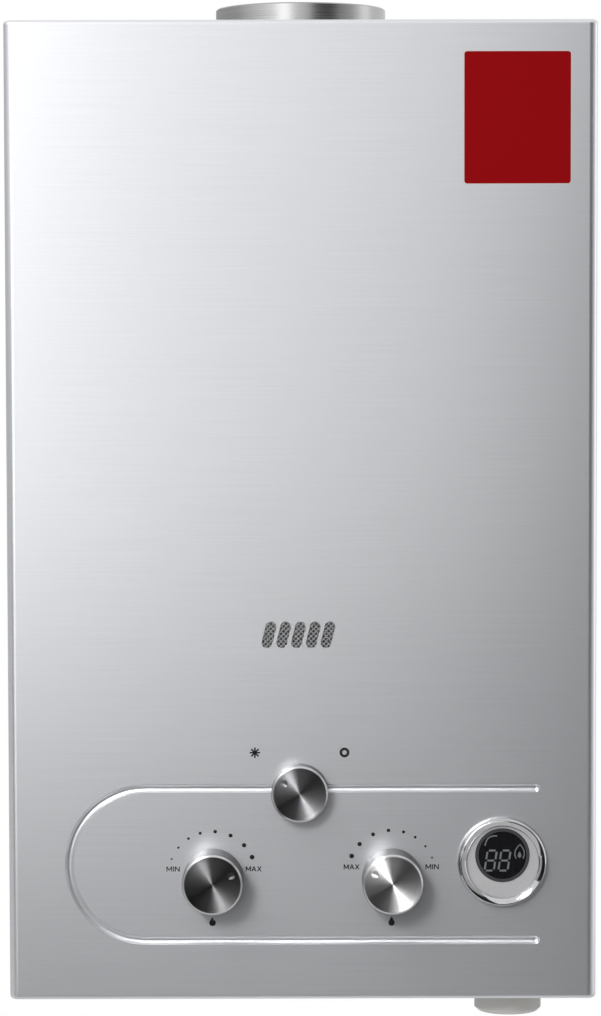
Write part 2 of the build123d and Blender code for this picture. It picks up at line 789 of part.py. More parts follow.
# Gas manifold: a bar with a neck that stands on the selector block
with BuildPart() as gas_manifold:
    with BuildSketch(level(manifold_bottom_z, 0, manifold_rear_y - manifold_depth / 2)):
        RectangleRounded(manifold_length, manifold_depth, manifold_depth / 3)
    extrude(amount=manifold_height)
    with BuildSketch(level(manifold_bottom_z, selector_x, manifold_rear_y - manifold_depth / 2)):
        Circle(neck_radius)
    extrude(amount=selector_block_top_z - manifold_bottom_z)
finish(gas_manifold, "gas_manifold")

# Injector nozzles: one for each bar, pointing into its mouth
with BuildPart() as injector_nozzles:
    for place in range(bar_count):
        nozzle_x = (place - (bar_count - 1) / 2) * bar_pitch
        with BuildSketch(facing(manifold_rear_y, nozzle_x, nozzle_z)):
            RegularPolygon(nozzle_radius, 6)
        with BuildSketch(facing(manifold_rear_y + nozzle_length, nozzle_x, nozzle_z)):
            RegularPolygon(nozzle_tip_radius, 6)
        loft(ruled=True)
finish(injector_nozzles, "injector_nozzles")

# Electrode bracket: an angle on the burner frame with a hole for each ceramic
bracket_top_z = frame_bottom_z + frame_height
shelf_z = frame_bottom_z + frame_wall
electrode_y = frame_front_y - shelf_wall - shelf_depth / 2
electrode_places = [(electrode_x + side * electrode_spacing / 2, electrode_y) for side in (-1, 1)]
with BuildPart() as electrode_bracket:
    with BuildSketch(level(shelf_z, electrode_x, frame_front_y - shelf_wall / 2)):
        Rectangle(electrode_spacing + 2 * shelf_margin, shelf_wall)
    extrude(amount=bracket_top_z - shelf_z)
    with BuildSketch(level(shelf_z)):
        with Locations((electrode_x, electrode_y)):
            Rectangle(electrode_spacing + 2 * shelf_margin, shelf_depth)
        with Locations(*electrode_places):
            Circle(ceramic_radius + running_gap, mode=Mode.SUBTRACT)
    extrude(amount=shelf_wall)
finish(electrode_bracket, "electrode_bracket")

# Electrode ceramics: the insulators of the spark electrode and the flame sensor
ceramic_bottom_z = shelf_z - ceramic_length / 3
ceramic_top_z = ceramic_bottom_z + ceramic_length
with BuildPart() as electrode_ceramics:
    with BuildSketch(level(ceramic_bottom_z)):
        with Locations(*electrode_places):
            Circle(ceramic_radius)
    extrude(amount=ceramic_length)
finish(electrode_ceramics, "electrode_ceramics")

# Electrode pins: wires that rise from the ceramics and reach over the bars
with BuildPart() as electrode_pins:
    for pin_x, pin_y in electrode_places:
        with BuildLine() as pin_path:
            FilletPolyline(
                (pin_x, pin_y, ceramic_top_z),
                (pin_x, pin_y, ceramic_top_z + pin_rise),
                (pin_x, pin_y + pin_reach, ceramic_top_z + pin_rise),
                radius=pin_bend,
            )
        with BuildSketch(level(ceramic_top_z, pin_x, pin_y)):
            RegularPolygon(pin_radius, 6)
        sweep(path=pin_path.line)
finish(electrode_pins, "electrode_pins")

# Gas valve body: a casting with the selector block above it
with BuildPart() as gas_valve_body:
    gas_body_width = gas_body_right_x - gas_body_left_x
    gas_body_depth = gas_body_rear_y - gas_body_front_y
    gas_body_x = (gas_body_left_x + gas_body_right_x) / 2
    with BuildSketch(level(gas_body_bottom_z, gas_body_x, (gas_body_front_y + gas_body_rear_y) / 2)):
        RectangleRounded(gas_body_width, gas_body_depth, gas_body_corner)
    extrude(amount=gas_body_height)
    selector_block_depth = selector_block_rear_y - selector_block_front_y
    with BuildSketch(level(gas_body_top_z, selector_x, (selector_block_front_y + selector_block_rear_y) / 2)):
        RectangleRounded(selector_block_width, selector_block_depth, gas_body_corner)
    extrude(amount=selector_block_top_z - gas_body_top_z)
    with BuildSketch(level(gas_body_bottom_z, -regulator_x, fitting_y)):
        Circle(fitting_boss_radius)
    extrude(amount=gas_body_height / 2)
    with BuildSketch(facing(gas_body_front_y)):
        with Locations((-regulator_x, regulator_z)):
            Circle(spindle_radius + running_gap)
    extrude(amount=-spindle_engagement, mode=Mode.SUBTRACT)
    with BuildSketch(facing(selector_block_front_y)):
        with Locations((selector_x, selector_z)):
            Circle(spindle_radius + running_gap)
    extrude(amount=-spindle_engagement, mode=Mode.SUBTRACT)
    with BuildSketch(across(gas_body_left_x, rod_y, rod_z)):
        Circle(poppet_chamber_radius)
    extrude(amount=poppet_seat_x - gas_body_left_x, mode=Mode.SUBTRACT)
    with BuildSketch(across(poppet_seat_x, rod_y, rod_z)):
        Circle(rod_radius + running_gap)
    extrude(amount=gas_body_right_x - poppet_seat_x, mode=Mode.SUBTRACT)
    with BuildSketch(level(gas_body_bottom_z, -regulator_x, fitting_y)):
        Circle(fitting_tail_radius + running_gap)
    extrude(amount=fitting_socket_depth, mode=Mode.SUBTRACT)
finish(gas_valve_body, "gas_valve_body")

# Solenoid valve: a coil on a square flange, with a nose in the poppet's chamber
with BuildPart() as solenoid_valve:
    with BuildSketch(across(gas_body_left_x, rod_y, rod_z)):
        RectangleRounded(solenoid_flange, solenoid_flange, gas_body_corner / 2)
    extrude(amount=-solenoid_flange_thickness)
    with BuildSketch(across(gas_body_left_x - solenoid_flange_thickness, rod_y, rod_z)):
        Circle(solenoid_radius)
    extrude(amount=-solenoid_length)
    with BuildSketch(across(gas_body_left_x, rod_y, rod_z)):
        Circle(poppet_chamber_radius - running_gap)
    extrude(amount=solenoid_nose_x - gas_body_left_x)
finish(solenoid_valve, "solenoid_valve")

# Gas poppet: the disc that the push rod lifts from its seat
with BuildPart() as gas_poppet:
    with BuildSketch(across(poppet_x, rod_y, rod_z)):
        Circle(poppet_radius)
        Circle(rod_radius + running_gap, mode=Mode.SUBTRACT)
    extrude(amount=poppet_thickness)
finish(gas_poppet, "gas_poppet")

# Return spring: the sleeve that the closed coils fill, between the solenoid's nose and the poppet
with BuildPart() as return_spring:
    with BuildSketch(across(solenoid_nose_x, rod_y, rod_z)):
        Circle(spring_radius)
        Circle(spring_radius - spring_wall, mode=Mode.SUBTRACT)
    extrude(amount=poppet_x - solenoid_nose_x)
finish(return_spring, "return_spring")

# Push rod: carries the poppet at one end and the diaphragm's plate at the other
with BuildPart() as push_rod:
    with BuildSketch(across(poppet_x, rod_y, rod_z)):
        Circle(rod_radius)
    extrude(amount=plate_x - poppet_x)
    with BuildSketch(across(collar_disc_x, rod_y, rod_z)):
        Circle(collar_disc_radius)
    extrude(amount=collar_disc_thickness)
finish(push_rod, "push_rod")

# Diaphragm plate: the disc that the diaphragm pushes
with BuildPart() as diaphragm_plate:
    with BuildSketch(across(plate_x, rod_y, rod_z)):
        Circle(plate_radius)
    extrude(amount=plate_thickness)
finish(diaphragm_plate, "diaphragm_plate")

# Microswitch: starts the ignition when the rod's collar presses its button
switch_right_x = gas_body_right_x + switch_width
switch_inner_y = rod_y - rod_radius - button_rest_gap
with BuildPart() as microswitch:
    with BuildSketch(across(gas_body_right_x)):
        with Locations((switch_inner_y - switch_depth / 2, rod_z)):
            Rectangle(switch_depth, switch_height)
        with Locations((rod_y - button_offset, rod_z)):
            Circle(button_radius + running_gap, mode=Mode.SUBTRACT)
    extrude(amount=switch_width)
finish(microswitch, "microswitch")

# Switch button: slides in the microswitch, pushed by the rod's collar
with BuildPart() as switch_button:
    with BuildSketch(across(switch_right_x - button_guide + rod_travel / 2)):
        with Locations((rod_y - button_offset, rod_z)):
            Circle(button_radius)
    extrude(amount=collar_disc_x - button_rest_gap - (switch_right_x - button_guide + rod_travel / 2))
finish(switch_button, "switch_button")

# Diaphragm cover: the dry half of the diaphragm housing, on two yoke legs
with BuildPart() as diaphragm_cover:
    with BuildSketch(across(housing_left_x, rod_y, rod_z)):
        Circle(housing_radius)
    extrude(amount=cover_thickness)
    with BuildSketch(across(gas_body_right_x, rod_y, rod_z)):
        with GridLocations(0, 2 * yoke_offset - yoke_width, 1, 2):
            Rectangle(yoke_width, yoke_width)
    extrude(amount=housing_left_x - gas_body_right_x)
    with BuildSketch(across(diaphragm_x, rod_y, rod_z)):
        Circle(recess_radius)
    extrude(amount=-cover_recess_depth, mode=Mode.SUBTRACT)
    with BuildSketch(across(housing_left_x, rod_y, rod_z)):
        Circle(rod_radius + running_gap)
        with PolarLocations(valve_screw_circle, valve_screw_count, start_angle=45):
            Circle(valve_screw_radius + running_gap)
    extrude(amount=cover_thickness, mode=Mode.SUBTRACT)
finish(diaphragm_cover, "diaphragm_cover")

# Diaphragm: the rubber disc between the two halves
with BuildPart() as diaphragm:
    with BuildSketch(across(diaphragm_x, rod_y, rod_z)):
        Circle(housing_radius)
        with PolarLocations(valve_screw_circle, valve_screw_count, start_angle=45):
            Circle(valve_screw_radius + running_gap, mode=Mode.SUBTRACT)
    extrude(amount=diaphragm_thickness)
finish(diaphragm, "diaphragm")

# Water valve body: the wet half, with bosses for the spindle, the inlet and the outlet
with BuildPart() as water_valve_body:
    with BuildSketch(across(water_flange_x, rod_y, rod_z)):
        Circle(housing_radius)
    extrude(amount=body_flange_thickness)
    with BuildSketch(across(water_flange_x + body_flange_thickness, rod_y, rod_z)):
        Circle(water_body_radius)
    extrude(amount=water_body_end_x - water_flange_x - body_flange_thickness)
    with BuildSketch(facing(rod_y, regulator_x, regulator_z)):
        Circle(water_boss_radius)
    extrude(amount=rod_y - water_boss_front_y)
    with BuildSketch(level(gas_body_bottom_z, water_inlet_x, fitting_y)):
        Circle(fitting_boss_radius)
    extrude(amount=rod_z - gas_body_bottom_z)
    with BuildSketch(across(water_flange_x, rod_y, rod_z)):
        Circle(recess_radius)
    extrude(amount=recess_depth, mode=Mode.SUBTRACT)
    with BuildSketch(across(water_flange_x, rod_y, rod_z)):
        with PolarLocations(valve_screw_circle, valve_screw_count, start_angle=45):
            Circle(valve_screw_radius + running_gap)
    extrude(amount=body_flange_thickness, mode=Mode.SUBTRACT)
    with BuildSketch(facing(water_boss_front_y)):
        with Locations((regulator_x, regulator_z)):
            Circle(spindle_radius + running_gap)
    extrude(amount=-spindle_engagement, mode=Mode.SUBTRACT)
    with BuildSketch(level(gas_body_bottom_z, water_inlet_x, fitting_y)):
        Circle(fitting_tail_radius + running_gap)
    extrude(amount=fitting_socket_depth, mode=Mode.SUBTRACT)
finish(water_valve_body, "water_valve_body")

# Valve screws: hold the two halves of the diaphragm housing together
with BuildPart() as valve_screws:
    with BuildSketch(across(housing_left_x, rod_y, rod_z)):
        with PolarLocations(valve_screw_circle, valve_screw_count, start_angle=45):
            Circle(valve_screw_radius)
    extrude(amount=water_flange_x + body_flange_thickness - housing_left_x)
    with BuildSketch(across(housing_left_x, rod_y, rod_z)):
        with PolarLocations(valve_screw_circle, valve_screw_count, start_angle=45):
            Circle(valve_screw_head_radius)
    extrude(amount=-valve_screw_head_height)
finish(valve_screws, "valve_screws")


def make_fitting(name, x, socket_top_z):
    """A male pipe fitting: a hexagon on the bottom plate, a shouldered stub below and a plain tail above."""
    with BuildPart() as fitting:
        with BuildSketch(level(fitting_end_z, x, fitting_y)):
            Circle(fitting_thread_radius)
        extrude(amount=bottom_z - fitting_end_z)
        chamfer(fitting.edges().group_by(Axis.Z)[0], length=fitting_chamfer)
        with BuildSketch(level(bottom_z, x, fitting_y)):
            Circle(fitting_neck_radius)
        extrude(amount=fitting_seat_z - bottom_z)
        with BuildSketch(level(fitting_seat_z, x, fitting_y)):
            RegularPolygon(fitting_hex / 2, 6, major_radius=False)
        extrude(amount=fitting_hex_height)
        if socket_top_z > fitting_seat_z + fitting_hex_height:
            with BuildSketch(level(fitting_seat_z + fitting_hex_height, x, fitting_y)):
                Circle(fitting_tail_radius)
            extrude(amount=socket_top_z - fitting_seat_z - fitting_hex_height)
        with BuildSketch(level(fitting_end_z, x, fitting_y)):
            Circle(fitting_bore_radius)
        extrude(amount=socket_top_z - fitting_end_z, mode=Mode.SUBTRACT)
    finish(fitting, name)


fitting_top_z = gas_body_bottom_z + fitting_socket_depth
make_fitting("gas_inlet_fitting", -regulator_x, fitting_top_z)
make_fitting("water_inlet_fitting", water_inlet_x, fitting_top_z)
make_fitting("hot_outlet_fitting", hot_outlet_x, fitting_seat_z + fitting_hex_height)

# Igniter box: the pulse controller on the back plate, with its terminals below
with BuildPart() as igniter_box:
    with BuildSketch(facing(-chassis_wall, igniter_x, igniter_z)):
        RectangleRounded(igniter_width, igniter_height, igniter_corner)
    extrude(amount=igniter_depth)
    chamfer(igniter_box.faces().sort_by(Axis.Y)[0].edges(), length=igniter_corner / 4)
    with BuildSketch(level(igniter_z - igniter_height / 2, igniter_x, -chassis_wall - igniter_depth / 2)):
        with GridLocations(terminal_pitch, 0, terminal_count, 1):
            Rectangle(terminal_width, terminal_thickness)
    extrude(amount=-terminal_length)
finish(igniter_box, "igniter_box")


def make_knob(name, place, size, dimple_angle, valve_front_y):
    """A turning knob: a spun metal cap, a moulded core and the spindle that it turns."""
    x, z = place
    radius, height = size
    rear_y = front_y - knob_clearance
    face_front_y = front_y - height
    dimple = Vector(radius - dimple_inset, 0).rotate(Axis.Z, dimple_angle)
    with BuildPart() as cap:
        with BuildSketch(facing(rear_y, x, z)):
            Circle(radius)
        extrude(amount=rear_y - face_front_y)
        chamfer(cap.faces().sort_by(Axis.Y)[0].edges(), length=knob_chamfer)
        with BuildSketch(facing(rear_y, x, z)):
            Circle(radius - knob_skin)
        extrude(amount=rear_y - face_front_y - knob_skin - knob_face_depth, mode=Mode.SUBTRACT)
        with BuildSketch(facing(face_front_y, x, z)):
            Circle(radius - knob_face_inset)
        extrude(amount=-knob_face_depth, mode=Mode.SUBTRACT)
        dimple_y = face_front_y + knob_face_depth + dimple_depth - dimple_radius
        with Locations((x + dimple.X, dimple_y, z + dimple.Y)):
            Sphere(dimple_radius, mode=Mode.SUBTRACT)
    finish(cap, f"{name}_knob")
    core_front_y = face_front_y + knob_face_depth + knob_skin
    with BuildPart() as spindle:
        with BuildSketch(facing(valve_front_y + spindle_engagement - running_gap, x, z)):
            Circle(spindle_radius)
        extrude(amount=valve_front_y + spindle_engagement - running_gap - core_front_y - knob_skin)
        with BuildSketch(facing(rear_y, x, z)):
            with Locations((0, -spindle_radius)):
                Rectangle(2 * spindle_radius, 2 * spindle_flat)
        extrude(amount=rear_y - core_front_y, mode=Mode.SUBTRACT)
    finish(spindle, f"{name}_spindle")
    with BuildPart() as core:
        with BuildSketch(facing(rear_y, x, z)):
            Circle(radius - knob_skin - core_gap)
            Circle(spindle_radius + core_gap, mode=Mode.SUBTRACT)
            with Locations((0, -spindle_radius)):
                Rectangle(2 * spindle_radius, 2 * (spindle_flat - core_gap))
        extrude(amount=rear_y - core_front_y - dimple_depth)
    finish(core, f"{name}_knob_core")


make_knob(
    "selector",
    (selector_x, selector_z),
    (selector_radius, selector_height),
    selector_dimple_angle,
    selector_block_front_y,
)
make_knob(
    "gas",
    (-regulator_x, regulator_z),
    (regulator_radius, regulator_height),
    gas_dimple_angle,
    gas_body_front_y,
)
make_knob(
    "water",
    (regulator_x, regulator_z),
    (regulator_radius, regulator_height),
    water_dimple_angle,
    water_boss_front_y,
)

# Display bezel: a stepped ring on the cover with a neck through it
with BuildPart() as display_bezel:
    with BuildSketch(facing(front_y, display_x, display_z)):
        Circle(bezel_radius)
    extrude(amount=bezel_height - bezel_step_height)
    chamfer(display_bezel.faces().sort_by(Axis.Y)[0].edges(), length=bezel_edge)
    with BuildSketch(facing(front_y, display_x, display_z)):
        Circle(bezel_step_radius)
    extrude(amount=bezel_height)
    chamfer(display_bezel.faces().sort_by(Axis.Y)[0].edges(), length=bezel_step_height / 2)
    with BuildSketch(facing(front_y + neck_depth, display_x, display_z)):
        Circle(bezel_opening_radius + neck_wall)
    extrude(amount=neck_depth)
    with BuildSketch(facing(front_y + neck_depth, display_x, display_z)):
        Circle(bezel_opening_radius)
    extrude(amount=neck_depth + bezel_height, mode=Mode.SUBTRACT)
finish(display_bezel, "display_bezel")

# Display face: the silver plate in the bezel, with the window off centre
with BuildPart() as display_face:
    with BuildSketch(facing(face_y + face_thickness, display_x, display_z)):
        Circle(bezel_opening_radius - window_gap)
        with Locations((0, window_offset)):
            Circle(window_radius + window_gap, mode=Mode.SUBTRACT)
    extrude(amount=face_thickness)
finish(display_face, "display_face")

# Display window: the dark round lens in the face
with BuildPart() as display_window:
    with BuildSketch(facing(module_front_y, display_x, display_z + window_offset)):
        Circle(window_radius)
    extrude(amount=module_front_y - window_front_y)
finish(display_window, "display_window")

# Display module: the potted circuit behind the face
with BuildPart() as display_module:
    with BuildSketch(facing(module_front_y + module_depth, display_x, display_z)):
        Circle(bezel_opening_radius - window_gap)
    extrude(amount=module_depth)
finish(display_module, "display_module")

# Display nut: clamps the bezel's neck behind the cover
with BuildPart() as display_nut:
    with BuildSketch(facing(inside_front_y + display_nut_thickness, display_x, display_z)):
        RegularPolygon(bezel_opening_radius + neck_wall + display_nut_width, 8, major_radius=False)
        Circle(bezel_opening_radius + neck_wall + running_gap, mode=Mode.SUBTRACT)
    extrude(amount=display_nut_thickness)
finish(display_nut, "display_nut")

# Battery tube: hangs in the bottom plate by its flange
with BuildPart() as battery_tube:
    battery_tube_top_z = cell_top_z + battery_spring_height + battery_tube_wall
    with BuildSketch(level(battery_tube_bottom_z, battery_x, battery_y)):
        Circle(tube_outer_radius)
    extrude(amount=battery_tube_top_z - battery_tube_bottom_z)
    with BuildSketch(level(floor_z, battery_x, battery_y)):
        Circle(tube_outer_radius + battery_tube_flange)
    extrude(amount=battery_tube_flange_thickness)
    with BuildSketch(level(battery_tube_bottom_z, battery_x, battery_y)):
        Circle(tube_inner_radius)
    extrude(amount=cell_top_z + battery_spring_height - battery_tube_bottom_z, mode=Mode.SUBTRACT)
finish(battery_tube, "battery_tube")

# Battery cells: two in line, each with a nub on top
with BuildPart() as battery_cells:
    for place in range(2):
        cell_z = cell_bottom_z + place * cell_stack_pitch
        with BuildSketch(level(cell_z, battery_x, battery_y)):
            Circle(cell_radius)
        extrude(amount=cell_length)
        with BuildSketch(level(cell_z + cell_length, battery_x, battery_y)):
            Circle(cell_nub_radius)
        extrude(amount=cell_nub_height)
finish(battery_cells, "battery_cells")

# Battery spring: the cone that the contact's coils fill, above the cells
with BuildPart() as battery_spring:
    with Locations((battery_x, battery_y, cell_top_z + battery_spring_height / 2)):
        Cone(battery_spring_top_radius, battery_spring_radius, battery_spring_height)
        Cone(
            battery_spring_top_radius - battery_spring_wall,
            battery_spring_radius - battery_spring_wall,
            battery_spring_height,
            mode=Mode.SUBTRACT,
        )
finish(battery_spring, "battery_spring")

# Battery cap: twists into the tube from below, with a coin slot
with BuildPart() as battery_cap:
    with BuildSketch(level(cap_bottom_z, battery_x, battery_y)):
        Circle(cap_radius)
    extrude(amount=cap_height)
    chamfer(battery_cap.edges().group_by(Axis.Z)[0], length=cap_edge)
    with BuildSketch(level(cap_bottom_z + cap_height, battery_x, battery_y)):
        Circle(tube_inner_radius - cap_plug_gap)
    extrude(amount=cell_bottom_z - cap_plug_gap - cap_bottom_z - cap_height)
    with BuildSketch(level(cap_bottom_z, battery_x, battery_y)):
        SlotOverall(cap_slot_length, cap_slot_width)
    extrude(amount=cap_slot_depth, mode=Mode.SUBTRACT)
finish(battery_cap, "battery_cap")
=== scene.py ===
"""Dresses the wall-hung gas water heater: finishes, printed marks, display, studio and camera."""

import logging
import math
from dataclasses import dataclass
from enum import Enum
from functools import cache

import bmesh
import bpy
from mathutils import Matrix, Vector


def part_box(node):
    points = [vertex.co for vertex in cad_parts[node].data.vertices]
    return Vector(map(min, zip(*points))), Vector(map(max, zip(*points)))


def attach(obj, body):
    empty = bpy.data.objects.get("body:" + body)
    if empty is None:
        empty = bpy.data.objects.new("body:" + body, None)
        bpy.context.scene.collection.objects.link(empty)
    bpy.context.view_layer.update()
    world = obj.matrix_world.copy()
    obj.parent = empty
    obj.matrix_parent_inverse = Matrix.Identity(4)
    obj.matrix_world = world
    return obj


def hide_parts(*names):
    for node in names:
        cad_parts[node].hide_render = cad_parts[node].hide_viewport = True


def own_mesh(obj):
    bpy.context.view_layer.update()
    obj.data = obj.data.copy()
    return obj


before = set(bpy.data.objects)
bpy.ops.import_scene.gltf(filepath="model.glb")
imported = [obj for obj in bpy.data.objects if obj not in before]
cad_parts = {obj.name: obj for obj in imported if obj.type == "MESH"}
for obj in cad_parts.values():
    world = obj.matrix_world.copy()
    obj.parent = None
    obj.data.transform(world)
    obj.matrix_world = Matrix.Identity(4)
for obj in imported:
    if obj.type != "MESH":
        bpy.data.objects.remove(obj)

Vec2 = tuple[float, float]
Vec3 = tuple[float, float, float]
Socket = bpy.types.NodeSocket
Source = Socket | float | Vec3
Work = bmesh.types.BMesh
Corners = list[bmesh.types.BMVert]

log = logging.getLogger("heater")

MM = 0.001
FULL_TURN = 2.0 * math.pi
CASING = "casing"

# Angle in degrees from which an edge of a smooth piece stays sharp.
SHARP_ANGLE = 40.0
WIRE_SIDES = 10
PANEL_FRONT_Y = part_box("front_cover")[0][1] / MM
PRINT_THICKNESS = 0.06
LETTER_STROKE = 0.55
LETTER_GAP = 0.34

# Width of each plain capital beside the others, and the lines of its strokes in a box of one by one.
LETTERS: dict[str, tuple[float, list[list[Vec2]]]] = {
    "A": (0.95, [[(0.0, 0.0), (0.5, 1.0), (1.0, 0.0)], [(0.2, 0.33), (0.8, 0.33)]]),
    "I": (0.05, [[(0.5, 0.0), (0.5, 1.0)]]),
    "M": (1.0, [[(0.0, 0.0), (0.0, 1.0), (0.5, 0.2), (1.0, 1.0), (1.0, 0.0)]]),
    "N": (0.8, [[(0.0, 0.0), (0.0, 1.0), (1.0, 0.0), (1.0, 1.0)]]),
    "X": (0.85, [[(0.0, 0.0), (1.0, 1.0)], [(0.0, 1.0), (1.0, 0.0)]]),
}


class Slot(str, Enum):
    """Material slots, named by their finishes."""

    CHROME = "bright_chrome"
    BLACK = "black_plastic"
    LENS = "dark_lens"
    MESH = "mesh_steel"
    SCREW = "screw_steel"
    BRASS = "valve_brass"
    WIRE = "spring_wire"


class Axis(Enum):
    """Direction that a screw, thread or spring runs along."""

    X = "x"
    Z = "z"

    def place(self, along: float, across: Vec2) -> Vector:
        """Turn a place along and across the axis, in millimetres, into a point of the frame.

        Args:
            along: Distance along the axis.
            across: The other two coordinates, in the order of the frame's axes.

        Returns:
            The point in metres.
        """
        point = (along, *across) if self is Axis.X else (*across, along)
        return Vector(point) * MM


class Shader:
    """One material with the node tree behind it."""

    def __init__(self, name: str) -> None:
        """Start a material that has a single Principled surface.

        Args:
            name: Name of the new material.
        """
        self.material = bpy.data.materials.new(name)
        self.material.use_nodes = True
        self.tree = self.material.node_tree
        self.surface = self.tree.nodes["Principled BSDF"]
        self.coords = self.tree.nodes.new("ShaderNodeTexCoord")

    def join(self, source: Source, socket: Socket) -> None:
        """Link a node's output to an input, or set a plain value on the input.

        Args:
            source: An output, a number, a place or a linear colour.
            socket: The input that takes it.
        """
        if isinstance(source, Socket):
            self.tree.links.new(source, socket)
        elif socket.type == "RGBA":
            socket.default_value = (*source, 1.0)
        else:
            socket.default_value = source

    def give(self, socket: str, source: Source) -> None:
        """Link or set the surface input of that name."""
        self.join(source, self.surface.inputs[socket])

    def add(self, kind: str, inputs: dict[str | int, Source] | None = None, **options: str) -> bpy.types.Node:
        """Add one node.

        Args:
            kind: Kind of shader node.
            inputs: What its inputs take, by their names or numbers.
            options: Choices that are set on the node before its inputs.

        Returns:
            The new node.
        """
        node = self.tree.nodes.new(f"ShaderNode{kind}")
        for name, choice in options.items():
            setattr(node, name, choice)
        for socket, source in (inputs or {}).items():
            self.join(source, node.inputs[socket])
        return node

    def place(self, scale: Vec3, centre: Vec3 = (0.0, 0.0, 0.0)) -> Socket:
        """Scale the object's own coordinates about a centre.

        Args:
            scale: Pattern repeats per metre along each axis.
            centre: Point, in metres, that becomes the origin.

        Returns:
            The scaled coordinate.
        """
        shift = tuple(-c * s for c, s in zip(centre, scale))
        inputs = {"Vector": self.coords.outputs["Object"], "Scale": scale, "Location": shift}
        return self.add("Mapping", inputs).outputs["Vector"]

    def noise(self, vector: Socket, detail: float = 3.0) -> Socket:
        """Sample cloudy noise at a coordinate, with a number of finer layers."""
        return self.add("TexNoise", {"Vector": vector, "Scale": 1.0, "Detail": detail}).outputs["Fac"]

    def cells(self, vector: Socket) -> Socket:
        """Sample a random grey per crystal cell at a coordinate."""
        crystals = self.add("TexVoronoi", {"Vector": vector, "Scale": 1.0})
        return self.add("SeparateColor", {"Color": crystals.outputs["Color"]}).outputs["Red"]

    def spread(
        self, factor: Socket, low: float, high: float, start: float = 0.3, end: float = 0.7
    ) -> Socket:
        """Map a factor onto a range of numbers.

        Args:
            factor: The factor to map.
            low: Number at the start of the factor.
            high: Number at its end.
            start: Factor that gives low.
            end: Factor that gives high.

        Returns:
            The mapped number.
        """
        inputs = {"Value": factor, "From Min": start, "From Max": end, "To Min": low, "To Max": high}
        return self.add("MapRange", inputs).outputs["Result"]

    def mix(self, factor: Source, low: Source, high: Source, blend: str = "MIX") -> Socket:
        """Mix two colours by a factor.

        Args:
            factor: Mixing factor from 0 to 1.
            low: Colour at 0.
            high: Colour at 1.
            blend: Way of mixing.

        Returns:
            The mixed colour.
        """
        inputs = {0: factor, 6: low, 7: high}
        return self.add("Mix", inputs, data_type="RGBA", blend_type=blend).outputs[2]

    def relief(self, height: Socket, depth: float) -> None:
        """Let a factor roughen the surface.

        Args:
            height: Factor that is high where the surface stands proud.
            depth: Height of the relief in metres.
        """
        bump = self.add("Bump", {"Height": height, "Strength": 1.0, "Distance": depth})
        self.give("Normal", bump.outputs["Normal"])

    def brush(self, axis: str, strength: float, turn: float = 0.25) -> None:
        """Stretch the highlights the way a brushed metal does.

        Args:
            axis: Axis that the brushing runs around.
            strength: Anisotropy of the surface.
            turn: Rotation of the stretch as a part of a turn.
        """
        tangent = self.add("Tangent", direction_type="RADIAL", axis=axis)
        self.give("Anisotropic", strength)
        self.give("Anisotropic Rotation", turn)
        self.give("Tangent", tangent.outputs["Tangent"])


def disc_of(node: str) -> tuple[Vec2, float]:
    """Measure a round piece that faces the front.

    Args:
        node: Name of the piece's node.

    Returns:
        Its axis as X and Z, and its radius, in millimetres.
    """
    low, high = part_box(node)
    centre = ((low[0] + high[0]) / 2.0 / MM, (low[2] + high[2]) / 2.0 / MM)
    return centre, (high[0] - low[0]) / 2.0 / MM


def corners_of(node: str) -> tuple[Vector, Vector]:
    """Lowest and highest corner of a node at rest, in millimetres."""
    low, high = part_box(node)
    return Vector(low) / MM, Vector(high) / MM


def reach(node: str, centre: Vec2, low: float, high: float) -> float:
    """Measure how far a piece reaches from an upright axis between two heights.

    Args:
        node: Name of the piece's node.
        centre: Axis as X and Y in millimetres.
        low: Lower height in millimetres.
        high: Upper height.

    Returns:
        The largest radius in millimetres.
    """
    spots = [vertex.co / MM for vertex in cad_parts[node].data.vertices]
    return max(math.dist(spot.xy, centre) for spot in spots if low <= spot.z <= high)


def even(number: float) -> Vec3:
    """The same number three times, for an even grain or a grey."""
    return (number, number, number)


def shade(colour: Vec3, by: float) -> Vec3:
    """Lighten or darken a colour by a factor."""
    return (min(1.0, colour[0] * by), min(1.0, colour[1] * by), min(1.0, colour[2] * by))


def circle(radius: float, sides: int, at: Vec2 = (0.0, 0.0)) -> list[Vec2]:
    """Work out the corners of a circle, counter-clockwise.

    Args:
        radius: Radius of the circle.
        sides: Number of corners.
        at: Its centre.

    Returns:
        The corners.
    """
    turns = [FULL_TURN * i / sides for i in range(sides)]
    return [(at[0] + radius * math.cos(turn), at[1] + radius * math.sin(turn)) for turn in turns]


def bridge(work: Work, here: Corners, after: Corners) -> None:
    """Join two closed loops of corners with a band of faces.

    Args:
        work: Geometry that takes the faces.
        here: One loop.
        after: The other loop, with as many corners.
    """
    for i, corner in enumerate(here):
        j = (i + 1) % len(here)
        work.faces.new((corner, here[j], after[j], after[i]))


def prism(work: Work, front: Corners, back: Corners) -> None:
    """Close two loops of corners into a flat-ended solid.

    Args:
        work: Geometry that takes the faces.
        front: Loop around the front.
        back: Loop around the back, with as many corners.
    """
    work.faces.new(front)
    work.faces.new(back[::-1])
    bridge(work, back, front)


